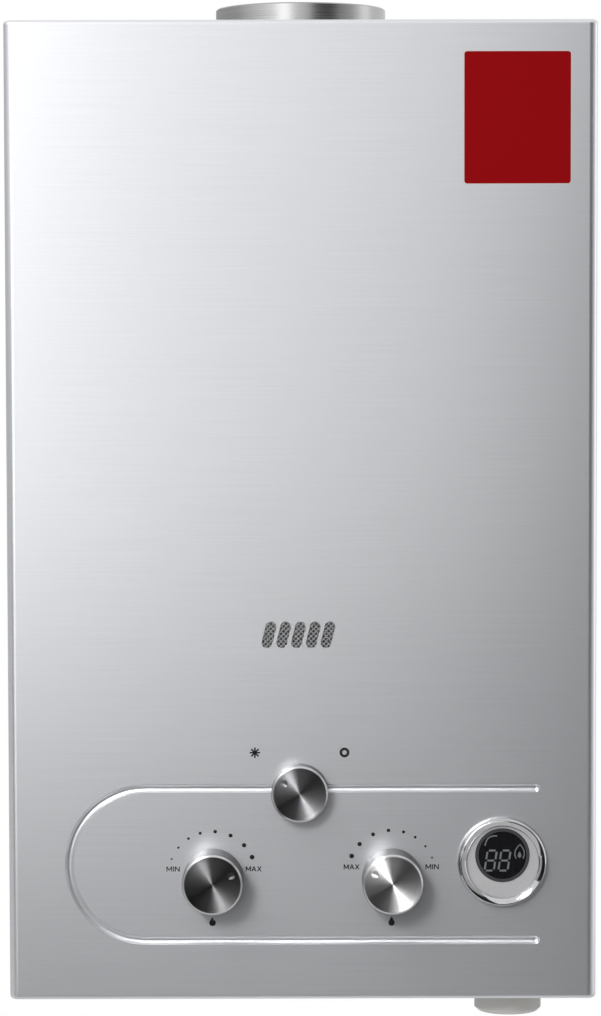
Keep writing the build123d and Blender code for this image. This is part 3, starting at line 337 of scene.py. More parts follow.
@dataclass(frozen=True)
class Grained:
    """A finish whose colour, gloss and relief follow a fine grain.

    Attributes:
        name: Name of the material.
        colour: Mean linear colour.
        roughness: Mean roughness.
        metallic: 1 for bare metal, 0 for anything else.
        grain: Grain repeats per metre along X, Y and Z.
        variation: Part of the colour that the grain changes.
        gloss_spread: Roughness that the grain adds and takes away.
        depth: Height of the grain in metres.
        specular: Strength of the mirror reflection of a finish that isn't metal.
    """

    name: str
    colour: Vec3
    roughness: float
    metallic: float = 0.0
    grain: Vec3 = even(900.0)
    variation: float = 0.06
    gloss_spread: float = 0.05
    depth: float = 0.00001
    specular: float = 0.5

    def build(self) -> bpy.types.Material:
        """Make the material.

        Returns:
            The finished material.
        """
        shader = Shader(self.name)
        grain = shader.noise(shader.place(self.grain))
        factor = shader.spread(grain, 0.0, 1.0)
        low = shade(self.colour, 1.0 - self.variation)
        high = shade(self.colour, 1.0 + self.variation)
        shader.give("Base Color", shader.mix(factor, low, high))
        rough = shader.spread(grain, self.roughness - self.gloss_spread, self.roughness + self.gloss_spread)
        shader.give("Roughness", rough)
        shader.give("Metallic", self.metallic)
        shader.give("Specular IOR Level", self.specular)
        shader.relief(factor, self.depth)
        return shader.material


@dataclass(frozen=True)
class BrushedSheet:
    """Sheet steel brushed along one level direction under a clear lacquer.

    Attributes:
        name: Name of the material.
        colour: Mean linear colour.
        roughness: Mean roughness.
        metallic: Share of bare metal in the look.
        anisotropy: Stretch of the highlights.
        streak: Streaks per metre along the brushing.
        fine: Fine lines per metre across the brushing.
        coarse: Broad bands per metre across the brushing.
        band_tone: Part of the colour that the bands change.
        line_tone: Part of the colour that the lines take away.
        gloss_spread: Roughness that the lines add and take away.
        depth: Height of the lines in metres.
    """

    name: str
    colour: Vec3
    roughness: float
    metallic: float = 0.88
    anisotropy: float = 0.3
    streak: float = 13.0
    fine: float = 1300.0
    coarse: float = 300.0
    band_tone: float = 0.005
    line_tone: float = 0.045
    gloss_spread: float = 0.01
    depth: float = 0.000001

    def build(self) -> bpy.types.Material:
        """Make the material.

        Returns:
            The finished material.
        """
        shader = Shader(self.name)
        fine = shader.noise(shader.place((self.streak, self.streak, self.fine)))
        coarse = shader.noise(shader.place((self.streak / 2.0, self.streak / 2.0, self.coarse)))
        low = shade(self.colour, 1.0 - self.band_tone)
        high = shade(self.colour, 1.0 + self.band_tone)
        bands = shader.mix(shader.spread(coarse, 0.0, 1.0), low, high)
        lines = shader.mix(shader.spread(fine, 0.0, 1.0), even(1.0 - self.line_tone), even(1.0))
        shader.give("Base Color", shader.mix(1.0, bands, lines, "MULTIPLY"))
        rough = shader.spread(fine, self.roughness - self.gloss_spread, self.roughness + self.gloss_spread)
        shader.give("Roughness", rough)
        shader.give("Metallic", self.metallic)
        shader.brush("Z", self.anisotropy)
        shader.relief(fine, self.depth)
        return shader.material


@dataclass(frozen=True)
class SpunMetal:
    """A knob cap turned on a lathe: fine rings on its face, painted reflection fans and a polished edge.

    Attributes:
        name: Name of the material.
        centre: Centre of the knob as X and Z in millimetres.
        radius: Radius of the knob in millimetres.
        colour: Linear colour of the metal.
        roughness: Roughness of the ringed face.
        rings: Rings per millimetre.
        ring_layers: Number of finer layers in the rings.
        ring_tones: Darkest and lightest ring as parts of the colour.
        edge: Width of the polished edge in millimetres.
        edge_blend: Width over which the face turns into the edge.
        edge_colour: Linear colour of the edge.
        edge_roughness: Roughness of the edge.
        wall_band: Where the edge starts and ends to turn into the wall, in from the outside.
        shaded_wall_colour: Linear colour of the wall behind the edge, its own tone darkened as painted shade
            so that the panel's reflection of the wall darkens around the knob.
        anisotropy: Stretch of the highlights.
        painted_fans: Angle in degrees and tone of each painted reflection fan, from the left around the
            bottom: light and dark wedges that stand in for the highlights of the spun face.
    """

    name: str
    centre: Vec2
    radius: float
    colour: Vec3
    roughness: float = 0.42
    rings: float = 5.0
    ring_layers: float = 2.0
    ring_tones: Vec2 = (0.86, 1.08)
    edge: float = 1.4
    edge_blend: float = 0.4
    edge_colour: Vec3 = (0.66, 0.66, 0.67)
    edge_roughness: float = 0.3
    wall_band: Vec2 = (0.25, 0.1)
    shaded_wall_colour: Vec3 = (0.21, 0.21, 0.215)
    anisotropy: float = 0.95
    painted_fans: tuple[Vec2, ...] = (
        (-180.0, 1.0),
        (-157.0, 0.85),
        (-147.0, 0.42),
        (-103.0, 0.34),
        (-86.0, 0.8),
        (-65.0, 1.0),
        (12.0, 1.0),
        (28.0, 0.7),
        (42.0, 0.45),
        (94.0, 0.36),
        (110.0, 0.75),
        (125.0, 1.0),
    )

    def paint_fans(self, shader: Shader, flat: Socket) -> Socket:
        """Tint the face in painted reflection fans: light and dark wedges around its centre that stand in for
        the highlights of a spun face and turn with the knob.

        Args:
            shader: The material being made.
            flat: Coordinate from the knob's centre.

        Returns:
            The grey tint of the fans.
        """
        split = shader.add("SeparateXYZ", {"Vector": flat})
        upright = shader.add("CombineXYZ", {"X": split.outputs["X"], "Y": split.outputs["Z"]})
        around = shader.add("TexGradient", {"Vector": upright.outputs["Vector"]}, gradient_type="RADIAL")
        ramp = shader.add("ValToRGB", {"Fac": around.outputs["Fac"]})
        stops = ramp.color_ramp.elements
        for turn, _ in self.painted_fans[1:-1]:
            stops.new(turn / 360.0 + 0.5)
        for stop, (turn, tone) in zip(stops, self.painted_fans):
            stop.position = turn / 360.0 + 0.5
            stop.color = (*even(tone), 1.0)
        return ramp.outputs["Color"]

    def ringed(self, shader: Shader, distance: Socket) -> Socket:
        """Colour the face in fine rings.

        Args:
            shader: The material being made.
            distance: Distance from the knob's centre.

        Returns:
            The colour of the rings.
        """
        inputs = {"W": distance, "Scale": self.rings, "Detail": self.ring_layers}
        noise = shader.add("TexNoise", inputs, noise_dimensions="1D")
        dark, light = (shade(self.colour, tone) for tone in self.ring_tones)
        return shader.mix(shader.spread(noise.outputs["Fac"], 0.0, 1.0), dark, light)

    def build(self) -> bpy.types.Material:
        """Make the material.

        Returns:
            The finished material.
        """
        shader = Shader(self.name)
        centre = (self.centre[0] * MM, 0.0, self.centre[1] * MM)
        flat = shader.place((1.0 / MM, 0.0, 1.0 / MM), centre)
        distance = shader.add("VectorMath", {0: flat}, operation="LENGTH").outputs["Value"]
        # The face is its rings multiplied by painted reflection fans, wedges of painted highlight and shade.
        face = shader.mix(1.0, self.ringed(shader, distance), self.paint_fans(shader, flat), "MULTIPLY")
        start = self.radius - self.edge
        end = start + self.edge_blend
        wall_start, wall_end = (self.radius - inset for inset in self.wall_band)
        wall = shader.spread(distance, 0.0, 1.0, wall_start, wall_end)
        # The wall behind the edge is partly its own tone and partly painted shade, kept dark to deepen the
        # shadow around the knob.
        outside = shader.mix(wall, self.edge_colour, self.shaded_wall_colour)
        rim = shader.spread(distance, 0.0, 1.0, start, end)
        shader.give("Base Color", shader.mix(rim, face, outside))
        shader.give("Roughness", shader.spread(distance, self.roughness, self.edge_roughness, start, end))
        shader.give("Metallic", 1.0)
        shader.brush("Y", self.anisotropy)
        return shader.material


@dataclass(frozen=True)
class Galvanised:
    """Zinc-coated sheet with its patchwork of crystals.

    Attributes:
        name: Name of the material.
        colour: Mean linear colour.
        crystal: Crystals per metre.
        tones: Darkest and lightest crystal as parts of the colour.
        gloss: Lowest and highest roughness of a crystal.
    """

    name: str
    colour: Vec3
    crystal: float = 130.0
    tones: Vec2 = (0.9, 1.06)
    gloss: Vec2 = (0.3, 0.44)

    def build(self) -> bpy.types.Material:
        """Make the material.

        Returns:
            The finished material.
        """
        shader = Shader(self.name)
        spot = shader.cells(shader.place(even(self.crystal)))
        dark, light = (shade(self.colour, tone) for tone in self.tones)
        shader.give("Base Color", shader.mix(spot, dark, light))
        shader.give("Roughness", shader.spread(spot, *self.gloss, 0.0, 1.0))
        shader.give("Metallic", 1.0)
        return shader.material


@dataclass(frozen=True)
class StageSheet:
    """A matt sheet of the studio that glows a little and is clear from its back.

    Attributes:
        name: Name of the material.
        colour: Mean linear colour.
        glow: Light that the sheet gives off by itself.
        speckle: Speckles per metre.
        variation: Part of the colour that the speckles change.
        roughness: Roughness of the sheet.
    """

    name: str
    colour: Vec3
    glow: float
    speckle: float = 40.0
    variation: float = 0.01
    roughness: float = 0.8

    def build(self) -> bpy.types.Material:
        """Make the material.

        Returns:
            The finished material.
        """
        shader = Shader(self.name)
        speckle = shader.spread(shader.noise(shader.place(even(self.speckle))), 0.0, 1.0)
        low = shade(self.colour, 1.0 - self.variation)
        high = shade(self.colour, 1.0 + self.variation)
        tone = shader.mix(speckle, low, high)
        shader.give("Base Color", tone)
        shader.give("Emission Color", tone)
        shader.give("Emission Strength", self.glow)
        shader.give("Roughness", self.roughness)
        back = shader.add("NewGeometry").outputs["Backfacing"]
        clear = shader.add("BsdfTransparent").outputs["BSDF"]
        choose = shader.add("MixShader", {"Fac": back, 1: shader.surface.outputs["BSDF"], 2: clear})
        shader.join(choose.outputs["Shader"], shader.tree.nodes["Material Output"].inputs["Surface"])
        return shader.material


@dataclass(frozen=True)
class Finishes:
    """Every finish of the heater, made once and shared by its sub-assemblies."""

    cover: BrushedSheet = BrushedSheet("cover_steel", (0.74, 0.75, 0.775), 0.35)
    zinc: Galvanised = Galvanised("zinc_sheet", (0.62, 0.63, 0.64))
    collar: Grained = Grained(
        "collar_steel",
        (0.42, 0.42, 0.425),
        0.29,
        metallic=1.0,
        grain=(8.0, 8.0, 1500.0),
        variation=0.05,
        gloss_spread=0.04,
    )
    screw: Grained = Grained("screw_steel", (0.66, 0.66, 0.67), 0.3, metallic=1.0)
    copper: Grained = Grained(
        "copper", (0.72, 0.33, 0.2), 0.32, metallic=1.0, grain=even(160.0), variation=0.12, gloss_spread=0.06
    )
    brass: Grained = Grained("valve_brass", (0.72, 0.5, 0.2), 0.3, metallic=1.0, grain=(60.0, 60.0, 2000.0))
    alloy: Grained = Grained(
        "cast_alloy",
        (0.52, 0.52, 0.53),
        0.5,
        metallic=1.0,
        grain=even(1400.0),
        variation=0.1,
        gloss_spread=0.06,
        depth=3e-5,
    )
    black: Grained = Grained("black_plastic", (0.02, 0.02, 0.021), 0.45, grain=even(2600.0), variation=0.2)
    grey: Grained = Grained("grey_plastic", (0.6, 0.59, 0.566), 0.5, grain=even(2600.0), variation=0.05)
    silver: Grained = Grained("silver_plastic", (0.52, 0.52, 0.53), 0.38, metallic=0.35, grain=even(3200.0))
    chrome: Grained = Grained(
        "bright_chrome",
        (0.55, 0.55, 0.56),
        0.08,
        metallic=1.0,
        grain=even(300.0),
        variation=0.02,
        gloss_spread=0.02,
        depth=1e-6,
    )
    lens: Grained = Grained(
        "dark_lens",
        (0.008, 0.008, 0.009),
        0.1,
        grain=even(400.0),
        variation=0.3,
        gloss_spread=0.02,
        depth=1e-6,
        specular=0.2,
    )
    rubber: Grained = Grained("black_rubber", (0.03, 0.03, 0.03), 0.75, grain=even(1800.0), variation=0.15)
    ceramic: Grained = Grained("ceramic_white", (0.82, 0.81, 0.78), 0.2, grain=even(300.0), variation=0.03)
    wire: Grained = Grained("spring_wire", (0.55, 0.55, 0.56), 0.28, metallic=1.0, grain=even(700.0))
    cell: Grained = Grained(
        "cell_jacket", (0.06, 0.16, 0.09), 0.3, metallic=0.2, grain=even(500.0), variation=0.08
    )
    mesh: Grained = Grained("mesh_steel", (0.34, 0.34, 0.34), 0.45, metallic=1.0, variation=0.1)
    ink: Grained = Grained(
        "dark_ink", (0.012, 0.012, 0.014), 0.5, grain=even(5000.0), variation=0.15, depth=1e-6, specular=0.2
    )
    ghost: Grained = Grained("display_ghost", (0.15, 0.155, 0.16), 0.4, grain=even(4000.0), variation=0.08)
    rim: Grained = Grained("display_rim", (0.045, 0.045, 0.05), 0.3, grain=even(4000.0), variation=0.1)
    film: Grained = Grained(
        "red_film",
        (0.34, 0.002, 0.004),
        0.5,
        grain=even(700.0),
        variation=0.04,
        gloss_spread=0.04,
        depth=1e-6,
        specular=0.06,
    )
    line: Grained = Grained("pale_ink", (0.75, 0.72, 0.7), 0.45, grain=even(3000.0), variation=0.05)


Finish = Grained | BrushedSheet | SpunMetal | Galvanised | StageSheet


@cache
def material_of(finish: Finish) -> bpy.types.Material:
    """Make a finish's material at its first use and share it afterwards."""
    return finish.build()


def dress(finish: Finish, *nodes: str) -> None:
    """Give carried-over pieces a finish.

    Args:
        finish: The finish to make, once for all the nodes.
        nodes: Names of the nodes that take it.
    """
    material = material_of(finish)
    for node in nodes:
        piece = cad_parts[node]
        if not piece.material_slots:
            piece.data.materials.append(material)
        for slot in piece.material_slots:
            slot.material = material
        log.info("dressed %s in %s", node, material.name)


def add_piece(
    name: str,
    work: Work,
    finish: Finish,
    replaced: str | None = None,
    smooth: bool = False,
) -> bpy.types.Object:
    """Turn worked geometry into a piece that is fixed to the casing.

    Args:
        name: Name of the piece.
        work: Its geometry, in the part's frame and in metres, which is freed.
        finish: Its finish.
        replaced: Node that it stands for.
        smooth: True to shade its faces as one round surface between sharp edges.

    Returns:
        The new object.
    """
    bmesh.ops.recalc_face_normals(work, faces=work.faces)
    mesh = bpy.data.meshes.new(name)
    work.to_mesh(mesh)
    work.free()
    if smooth:
        mesh.shade_smooth()
        mesh.set_sharp_from_angle(angle=math.radians(SHARP_ANGLE))
    mesh.materials.append(material_of(finish))
    piece = bpy.data.objects.new(name, mesh)
    bpy.context.scene.collection.objects.link(piece)
    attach(piece, CASING)
    if replaced is not None:
        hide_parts(replaced)
    log.info("added %s on %s", name, CASING)
    return piece


class Print:
    """Flat shapes in the panel's plane, raised into one thin printed piece."""

    def __init__(self, name: str, front_y: float, centre: Vec2 = (0.0, 0.0), slant: float = 0.0) -> None:
        """Start an empty print.

        Args:
            name: Name of the piece.
            front_y: Depth of the surface that is printed on, in millimetres.
            centre: Origin of the shapes as X and Z in millimetres.
            slant: Lean to the right, in degrees.
        """
        self.name = name
        self.front_y = front_y
        self.centre = centre
        self.lean = math.tan(math.radians(slant))
        self.work = bmesh.new()

    def loop(self, points: list[Vec2], y: float) -> Corners:
        """Place the corners of a shape.

        Args:
            points: X and Z of each corner from the print's origin, in millimetres.
            y: Depth in millimetres.

        Returns:
            The new corners.
        """
        corners = []
        for across, up in points:
            x = self.centre[0] + across + self.lean * up
            corners.append(self.work.verts.new((x * MM, y * MM, (self.centre[1] + up) * MM)))
        return corners

    def polygon(self, points: list[Vec2]) -> None:
        """Add a filled outline.

        Args:
            points: Corners, counter-clockwise as seen from the front.
        """
        back = self.loop(points, self.front_y)
        prism(self.work, self.loop(points, self.front_y - PRINT_THICKNESS), back)

    def disc(self, at: Vec2, radius: float, sides: int = 24) -> None:
        """Add a filled circle."""
        self.polygon(circle(radius, sides, at))

    def stroke(self, points: list[Vec2], width: float) -> None:
        """Add a line of even width through points.

        Args:
            points: The line's points in order.
            width: Its width.
        """
        left: list[Vec2] = []
        right: list[Vec2] = []
        for i, point in enumerate(points):
            before = Vector(points[max(0, i - 1)])
            after = Vector(points[min(len(points) - 1, i + 1)])
            along = (after - before).normalized()
            side = Vector((-along.y, along.x)) * (width / 2.0)
            left.append((point[0] + side.x, point[1] + side.y))
            right.append((point[0] - side.x, point[1] - side.y))
        self.polygon(right + left[::-1])

    def ring(self, outer: float, inner: float, sides: int) -> None:
        """Add a flat ring around the print's origin.

        Args:
            outer: Outer radius.
            inner: Inner radius.
            sides: Number of corners.
        """
        front_y = self.front_y - PRINT_THICKNESS
        rims = ((inner, front_y), (outer, front_y), (outer, self.front_y), (inner, self.front_y))
        loops = [self.loop(circle(radius, sides), y) for radius, y in rims]
        for here, after in zip(loops, loops[1:] + loops[:1]):
            bridge(self.work, here, after)

    def word(self, letters: str, at: Vec2, width: float, height: float) -> None:
        """Add plain capitals of straight strokes that fill a given box.

        Args:
            letters: The letters, each one of those in LETTERS.
            at: Centre of the box.
            width: Width of the box.
            height: Height of the box.
        """
        widths = [LETTERS[letter][0] for letter in letters]
        across = width / (sum(widths) + LETTER_GAP * (len(letters) - 1))
        left = at[0] - width / 2.0
        for letter, wide in zip(letters, widths):
            for line in LETTERS[letter][1]:
                points = [(left + u * wide * across, at[1] + (v - 0.5) * height) for u, v in line]
                for ends in zip(points, points[1:]):
                    self.stroke(list(ends), LETTER_STROKE)
            left += (wide + LETTER_GAP) * across

    def build(self, finish: Grained, slot: Slot | None = None) -> None:
        """Turn the shapes into a piece on the casing."""
        add_piece(self.name, self.work, finish)


def lathe(centre: Vec2, profile: list[Vec2], sides: int = 96) -> Work:
    """Turn a closed profile around a front-to-back axis.

    Args:
        centre: Axis as X and Z in millimetres.
        profile: Radius and depth of each corner, in millimetres, in order.
        sides: Number of steps around.

    Returns:
        The turned geometry.
    """
    work = bmesh.new()
    loops = []
    for radius, y in profile:
        spots = circle(radius, sides, centre)
        loops.append([work.verts.new((x * MM, y * MM, z * MM)) for x, z in spots])
    for here, after in zip(loops, loops[1:] + loops[:1]):
        bridge(work, here, after)
    return work


@dataclass(frozen=True)
class Helix:
    """A wire or ridge that winds along an axis.

    Attributes:
        axis: Axis that it winds along.
        centre: Place of the axis, across it, in millimetres.
        start: Place along the axis and radius where it starts.
        end: Place along the axis and radius where it ends.
        turns: Number of turns.
        section: Corners of its section, as distances outwards and along the axis.
        steps: Steps in one turn.
    """

    axis: Axis
    centre: Vec2
    start: Vec2
    end: Vec2
    turns: float
    section: list[Vec2]
    steps: int = 32

    def row(self, work: Work, part: float) -> Corners:
        """Place the section at one part of the way.

        Args:
            work: Geometry that takes the corners.
            part: Part of the way from start to end.

        Returns:
            The section's corners there.
        """
        turn = FULL_TURN * self.turns * part
        along, radius = (a + part * (b - a) for a, b in zip(self.start, self.end))
        corners = []
        for out, up in self.section:
            far = radius + out
            across = (self.centre[0] + far * math.cos(turn), self.centre[1] + far * math.sin(turn))
            corners.append(work.verts.new(self.axis.place(along + up, across)))
        return corners

    def build(self) -> Work:
        """Wind the section from start to end.

        Returns:
            The wound geometry.
        """
        work = bmesh.new()
        count = round(self.turns * self.steps)
        rows = [self.row(work, i / count) for i in range(count + 1)]
        for here, after in zip(rows, rows[1:]):
            bridge(work, here, after)
        work.faces.new(rows[0])
        work.faces.new(rows[-1])
        return work


@dataclass
class Case:
    """The brushed cover and the plates behind and around it."""

    finishes: Finishes

    def build(self) -> None:
        """Dress the case's pieces."""
        dress(self.finishes.cover, "front_cover")
        dress(self.finishes.zinc, "back_plate", "top_plate", "bottom_plate")


@dataclass
class CoverScrews:
    """The cross-recessed screws that hold the cover at its sides.

    Attributes:
        finishes: The heater's finishes.
        head_height: Height of a head in millimetres.
        shank_radius: Radius of a shank.
        shank_length: Length of a shank below its head.
        crown: Radius of a head's flat top as a part of the head's radius.
        shoulder: Radius and depth of a head's rounded shoulder, as parts of its radius and height.
        wall_depth: Depth at which a head has its full radius, as a part of its height.
        slot_length: Half the length of the recess as a part of the head's radius.
        slot_width: Half the width of the recess.
        slot_depth: Depth of the recess as a part of the head's height.
        slot_taper: Size of the recess at its floor as a part of its size at the top.
        sides: Number of steps around a head.
    """

    finishes: Finishes
    head_height: float = 1.6
    shank_radius: float = 1.9
    shank_length: float = 8.0
    crown: float = 0.78
    shoulder: Vec2 = (0.94, 0.22)
    wall_depth: float = 0.5
    slot_length: float = 0.52
    slot_width: float = 0.13
    slot_depth: float = 0.7
    slot_taper: float = 0.8
    sides: int = 32

    def cross(self, radius: float) -> list[Vec2]:
        """Outline of the recess, counter-clockwise.

        Args:
            radius: Radius of the head.

        Returns:
            Its twelve corners about the axis.
        """
        long, wide = self.slot_length * radius, self.slot_width * radius
        corner: list[Vec2] = [(long, -wide), (long, wide), (wide, wide)]
        turned: list[Vec2] = []
        for quarter in range(4):
            cosine, sine = math.cos(FULL_TURN / 4.0 * quarter), math.sin(FULL_TURN / 4.0 * quarter)
            turned += [(u * cosine - v * sine, u * sine + v * cosine) for u, v in corner]
        return turned

    def screw(self, work: Work, at: Vec2, top_x: float, radius: float) -> None:
        """Add one screw.

        Args:
            work: Geometry that takes the screw.
            at: Its axis as Y and Z in millimetres.
            top_x: Place of its head's top.
            radius: Radius of its head.
        """

        def loop(points: list[Vec2], depth: float) -> Corners:
            """Place a closed loop of corners about the axis, that deep below the head's top."""
            x = top_x - math.copysign(depth, top_x)
            return [work.verts.new(Axis.X.place(x, (at[0] + u, at[1] + v))) for u, v in points]

        height = self.head_height
        levels = (
            (self.crown * radius, 0.0),
            (self.shoulder[0] * radius, self.shoulder[1] * height),
            (radius, self.wall_depth * height),
            (radius, height),
            (self.shank_radius, height),
            (self.shank_radius, height + self.shank_length),
        )
        rings = [loop(circle(reached, self.sides), depth) for reached, depth in levels]
        mouth = loop(self.cross(radius), 0.0)
        floor = loop(self.cross(self.slot_taper * radius), self.slot_depth * height)
        for here, after in [*zip(rings, rings[1:]), (mouth, floor)]:
            bridge(work, here, after)
        work.faces.new(rings[-1])
        work.faces.new(floor)
        rim = []
        for ring in (rings[0], mouth):
            rim += [work.edges.get(ends) for ends in zip(ring, ring[1:] + ring[:1])]
        bmesh.ops.triangle_fill(work, edges=rim, use_beauty=True)

    def build(self) -> None:
        """Make the screws in the place of the plain ones."""
        low, high = corners_of("cover_screws")
        radius = (high.y - low.y) / 2.0
        work = bmesh.new()
        for top_x in (low.x, high.x):
            for z in (low.z + radius, high.z - radius):
                self.screw(work, ((low.y + high.y) / 2.0, z), top_x, radius)
        add_piece("recessed_screws", work, self.finishes.screw, "cover_screws", smooth=True)


@dataclass
class SightWindow:
    """The fine wire mesh behind the slots through which the flame is seen.

    Attributes:
        finishes: The heater's finishes.
        pitch: Distance between neighbouring wires in millimetres.
        wire: Width of a wire.
        thickness: Thickness of a wire.
        depths: Depth of the wires that climb to the right, and to the left, behind the gauze's front.
    """

    finishes: Finishes
    pitch: float = 2.0
    wire: float = 0.8
    thickness: float = 0.25
    depths: Vec2 = (0.02, 0.3)

    def weave(self, work: Work, low: Vec2, high: Vec2, front_y: float, to_right: bool) -> None:
        """Lay one set of parallel slanted wires inside a rectangle.

        Args:
            work: Geometry that takes the wires.
            low: Lower left corner of the rectangle.
            high: Upper right corner of the rectangle.
            front_y: Depth of the wires' front, in millimetres.
            to_right: True for wires that climb to the right, False to the left.
        """
        width, height = high[0] - low[0], high[1] - low[1]
        step = self.pitch * math.sqrt(2.0)
        half = self.wire / math.sqrt(2.0)
        for i in range(1, int((width + height) / step)):
            start = i * step - height
            ends = []
            for edge in (start - half, start + half):
                near, far = max(edge, 0.0), min(edge + height, width)
                ends.append([(near, near - edge), (far, far - edge)])
            points = ends[0] + ends[1][::-1]
            corners = [(low[0] + u if to_right else high[0] - u, low[1] + v) for u, v in points]
            front, back = (
                [work.verts.new((x * MM, y * MM, z * MM)) for x, z in corners]
                for y in (front_y, front_y + self.thickness)
            )
            prism(work, front, back)

    def build(self) -> None:
        """Weave the mesh in the place of the plain gauze."""
        low, high = corners_of("sight_mesh")
        work = bmesh.new()
        for to_right, depth in zip((True, False), self.depths):
            self.weave(work, low.xz, high.xz, low.y + depth, to_right)
        add_piece("sight_weave", work, self.finishes.mesh, "sight_mesh")


@dataclass
class Knob:
    """One turning knob: a spun metal cap on a dark core and a spindle.

    Attributes:
        finishes: The heater's finishes.
        prefix: First part of the names of its nodes.
        colour: Linear colour of the cap, set per knob as painted light and shade for how brightly that knob
            reflects.
    """

    finishes: Finishes
    prefix: str
    colour: Vec3

    def build(self) -> None:
        """Dress the knob's pieces."""
        centre, radius = disc_of(f"{self.prefix}_knob")
        cap = SpunMetal(f"{self.prefix}_knob_metal", centre, radius, self.colour)
        dress(cap, f"{self.prefix}_knob")
        dress(self.finishes.black, f"{self.prefix}_knob_core")
        dress(self.finishes.brass, f"{self.prefix}_spindle")


def flame_sign() -> list[Vec2]:
    """Outline of a small flame, counter-clockwise."""
    right = [(0.0, -2.6), (1.5, -2.0), (2.0, -0.4), (1.1, 1.2), (0.7, 0.4)]
    return right + [(0.1, 2.8), (-1.2, 0.9), (-2.0, -0.6), (-1.5, -2.0)]


def drop_sign(radius: float = 1.8, tip: float = 2.8, sink: float = 0.8) -> list[Vec2]:
    """Outline of a small drop, counter-clockwise.

    Args:
        radius: Radius of the drop's round end.
        tip: Height of its tip.
        sink: Distance of the round end's middle below the drop's middle.

    Returns:
        Its corners from the tip on.
    """
    # The round end runs from the upper left around the bottom to the upper right, in degrees.
    turns = [math.radians(turn) for turn in range(150, 391, 20)]
    return [(0.0, tip)] + [(radius * math.cos(turn), radius * math.sin(turn) - sink) for turn in turns]


@dataclass
class RegulatorMarks:
    """The scale of growing dots, the words and the sign printed around one regulator.

    Attributes:
        finishes: The heater's finishes.
        prefix: First part of the names of the knob's nodes.
        side: 1 if the scale grows to the right, -1 if it grows to the left.
        shift: Middle of the scale from the knob's axis, in millimetres.
        word_rise: Height of the words above the axis.
        sign: Outline of the sign under the knob.
        sign_drop: Distance of the sign below the axis.
        word_reach: Distance of the words to each side of the axis.
        word_height: Height of the words' letters.
        min_width: Width of the word at the small end.
        max_width: Width of the word at the large end.
        turns: Angles of the dots in degrees, from the largest dot to the smallest.
        scale_radius: Radius of the ring of dots.
        smallest: Diameter of the smallest dot.
        largest: Diameter of the largest dot.
    """

    finishes: Finishes
    prefix: str
    side: float
    shift: Vec2
    word_rise: float
    sign: list[Vec2]
    sign_drop: float = 24.7
    word_reach: float = 22.75
    word_height: float = 2.8
    min_width: float = 7.0
    max_width: float = 8.4
    turns: tuple[float, ...] = (24.0, 43.0, 65.0, 86.0, 106.0, 123.0, 141.0, 158.5)
    scale_radius: float = 24.6
    smallest: float = 1.1
    largest: float = 2.7

    def dots(self, axis: Vec2) -> None:
        """Print the ring of growing dots.

        Args:
            axis: The knob's axis as X and Z.
        """
        middle = (axis[0] + self.shift[0], axis[1] + self.shift[1])
        sheet = Print(f"{self.prefix}_scale", PANEL_FRONT_Y, middle)
        for i, turn in enumerate(self.turns):
            size = self.largest - i / (len(self.turns) - 1) * (self.largest - self.smallest)
            across = self.side * self.scale_radius * math.cos(math.radians(turn))
            sheet.disc((across, self.scale_radius * math.sin(math.radians(turn))), size / 2.0)
        sheet.build(self.finishes.ink, Slot.BLACK)

    def build(self) -> None:
        """Print the scale, MIN and MAX at its ends and the sign below."""
        axis, _ = disc_of(f"{self.prefix}_knob")
        self.dots(axis)
        words = Print(f"{self.prefix}_words", PANEL_FRONT_Y, axis)
        across = self.side * self.word_reach
        words.word("MIN", (-across, self.word_rise), self.min_width, self.word_height)
        words.word("MAX", (across, self.word_rise), self.max_width, self.word_height)
        words.build(self.finishes.ink, Slot.BLACK)
        below = (axis[0] + self.shift[0], axis[1] - self.sign_drop)
        sign = Print(f"{self.prefix}_sign", PANEL_FRONT_Y, below)
        sign.polygon(self.sign)
        sign.build(self.finishes.ink, Slot.BLACK)


@dataclass
class SelectorMarks:
    """The star at the selector's cold side and the ring at its warm side.

    Attributes:
        finishes: The heater's finishes.
        signs_reach: Distance of the signs to each side of the knob's axis.
        rise: Height of the signs above the axis.
        star_radius: Reach of the star's arms.
        arm_width: Width of the star's arms.
        arm_pairs: Number of arms that cross in the star.
        ring_outer: Outer radius of the ring.
        ring_inner: Inner radius of the ring.
    """

    finishes: Finishes
    signs_reach: float = 25.25
    rise: float = 22.0
    star_radius: float = 2.95
    arm_width: float = 0.9
    arm_pairs: int = 4
    ring_outer: float = 2.8
    ring_inner: float = 1.3

    def build(self) -> None:
        """Print both signs."""
        axis, _ = disc_of("selector_knob")
        star = Print("cold_sign", PANEL_FRONT_Y, (axis[0] - self.signs_reach, axis[1] + self.rise))
        for across, up in circle(self.star_radius, 2 * self.arm_pairs)[: self.arm_pairs]:
            star.stroke([(-across, -up), (across, up)], self.arm_width)
        star.build(self.finishes.ink, Slot.BLACK)
        ring = Print("warm_sign", PANEL_FRONT_Y, (axis[0] + self.signs_reach, axis[1] + self.rise))
        ring.ring(self.ring_outer, self.ring_inner, sides=32)
        ring.build(self.finishes.ink, Slot.BLACK)


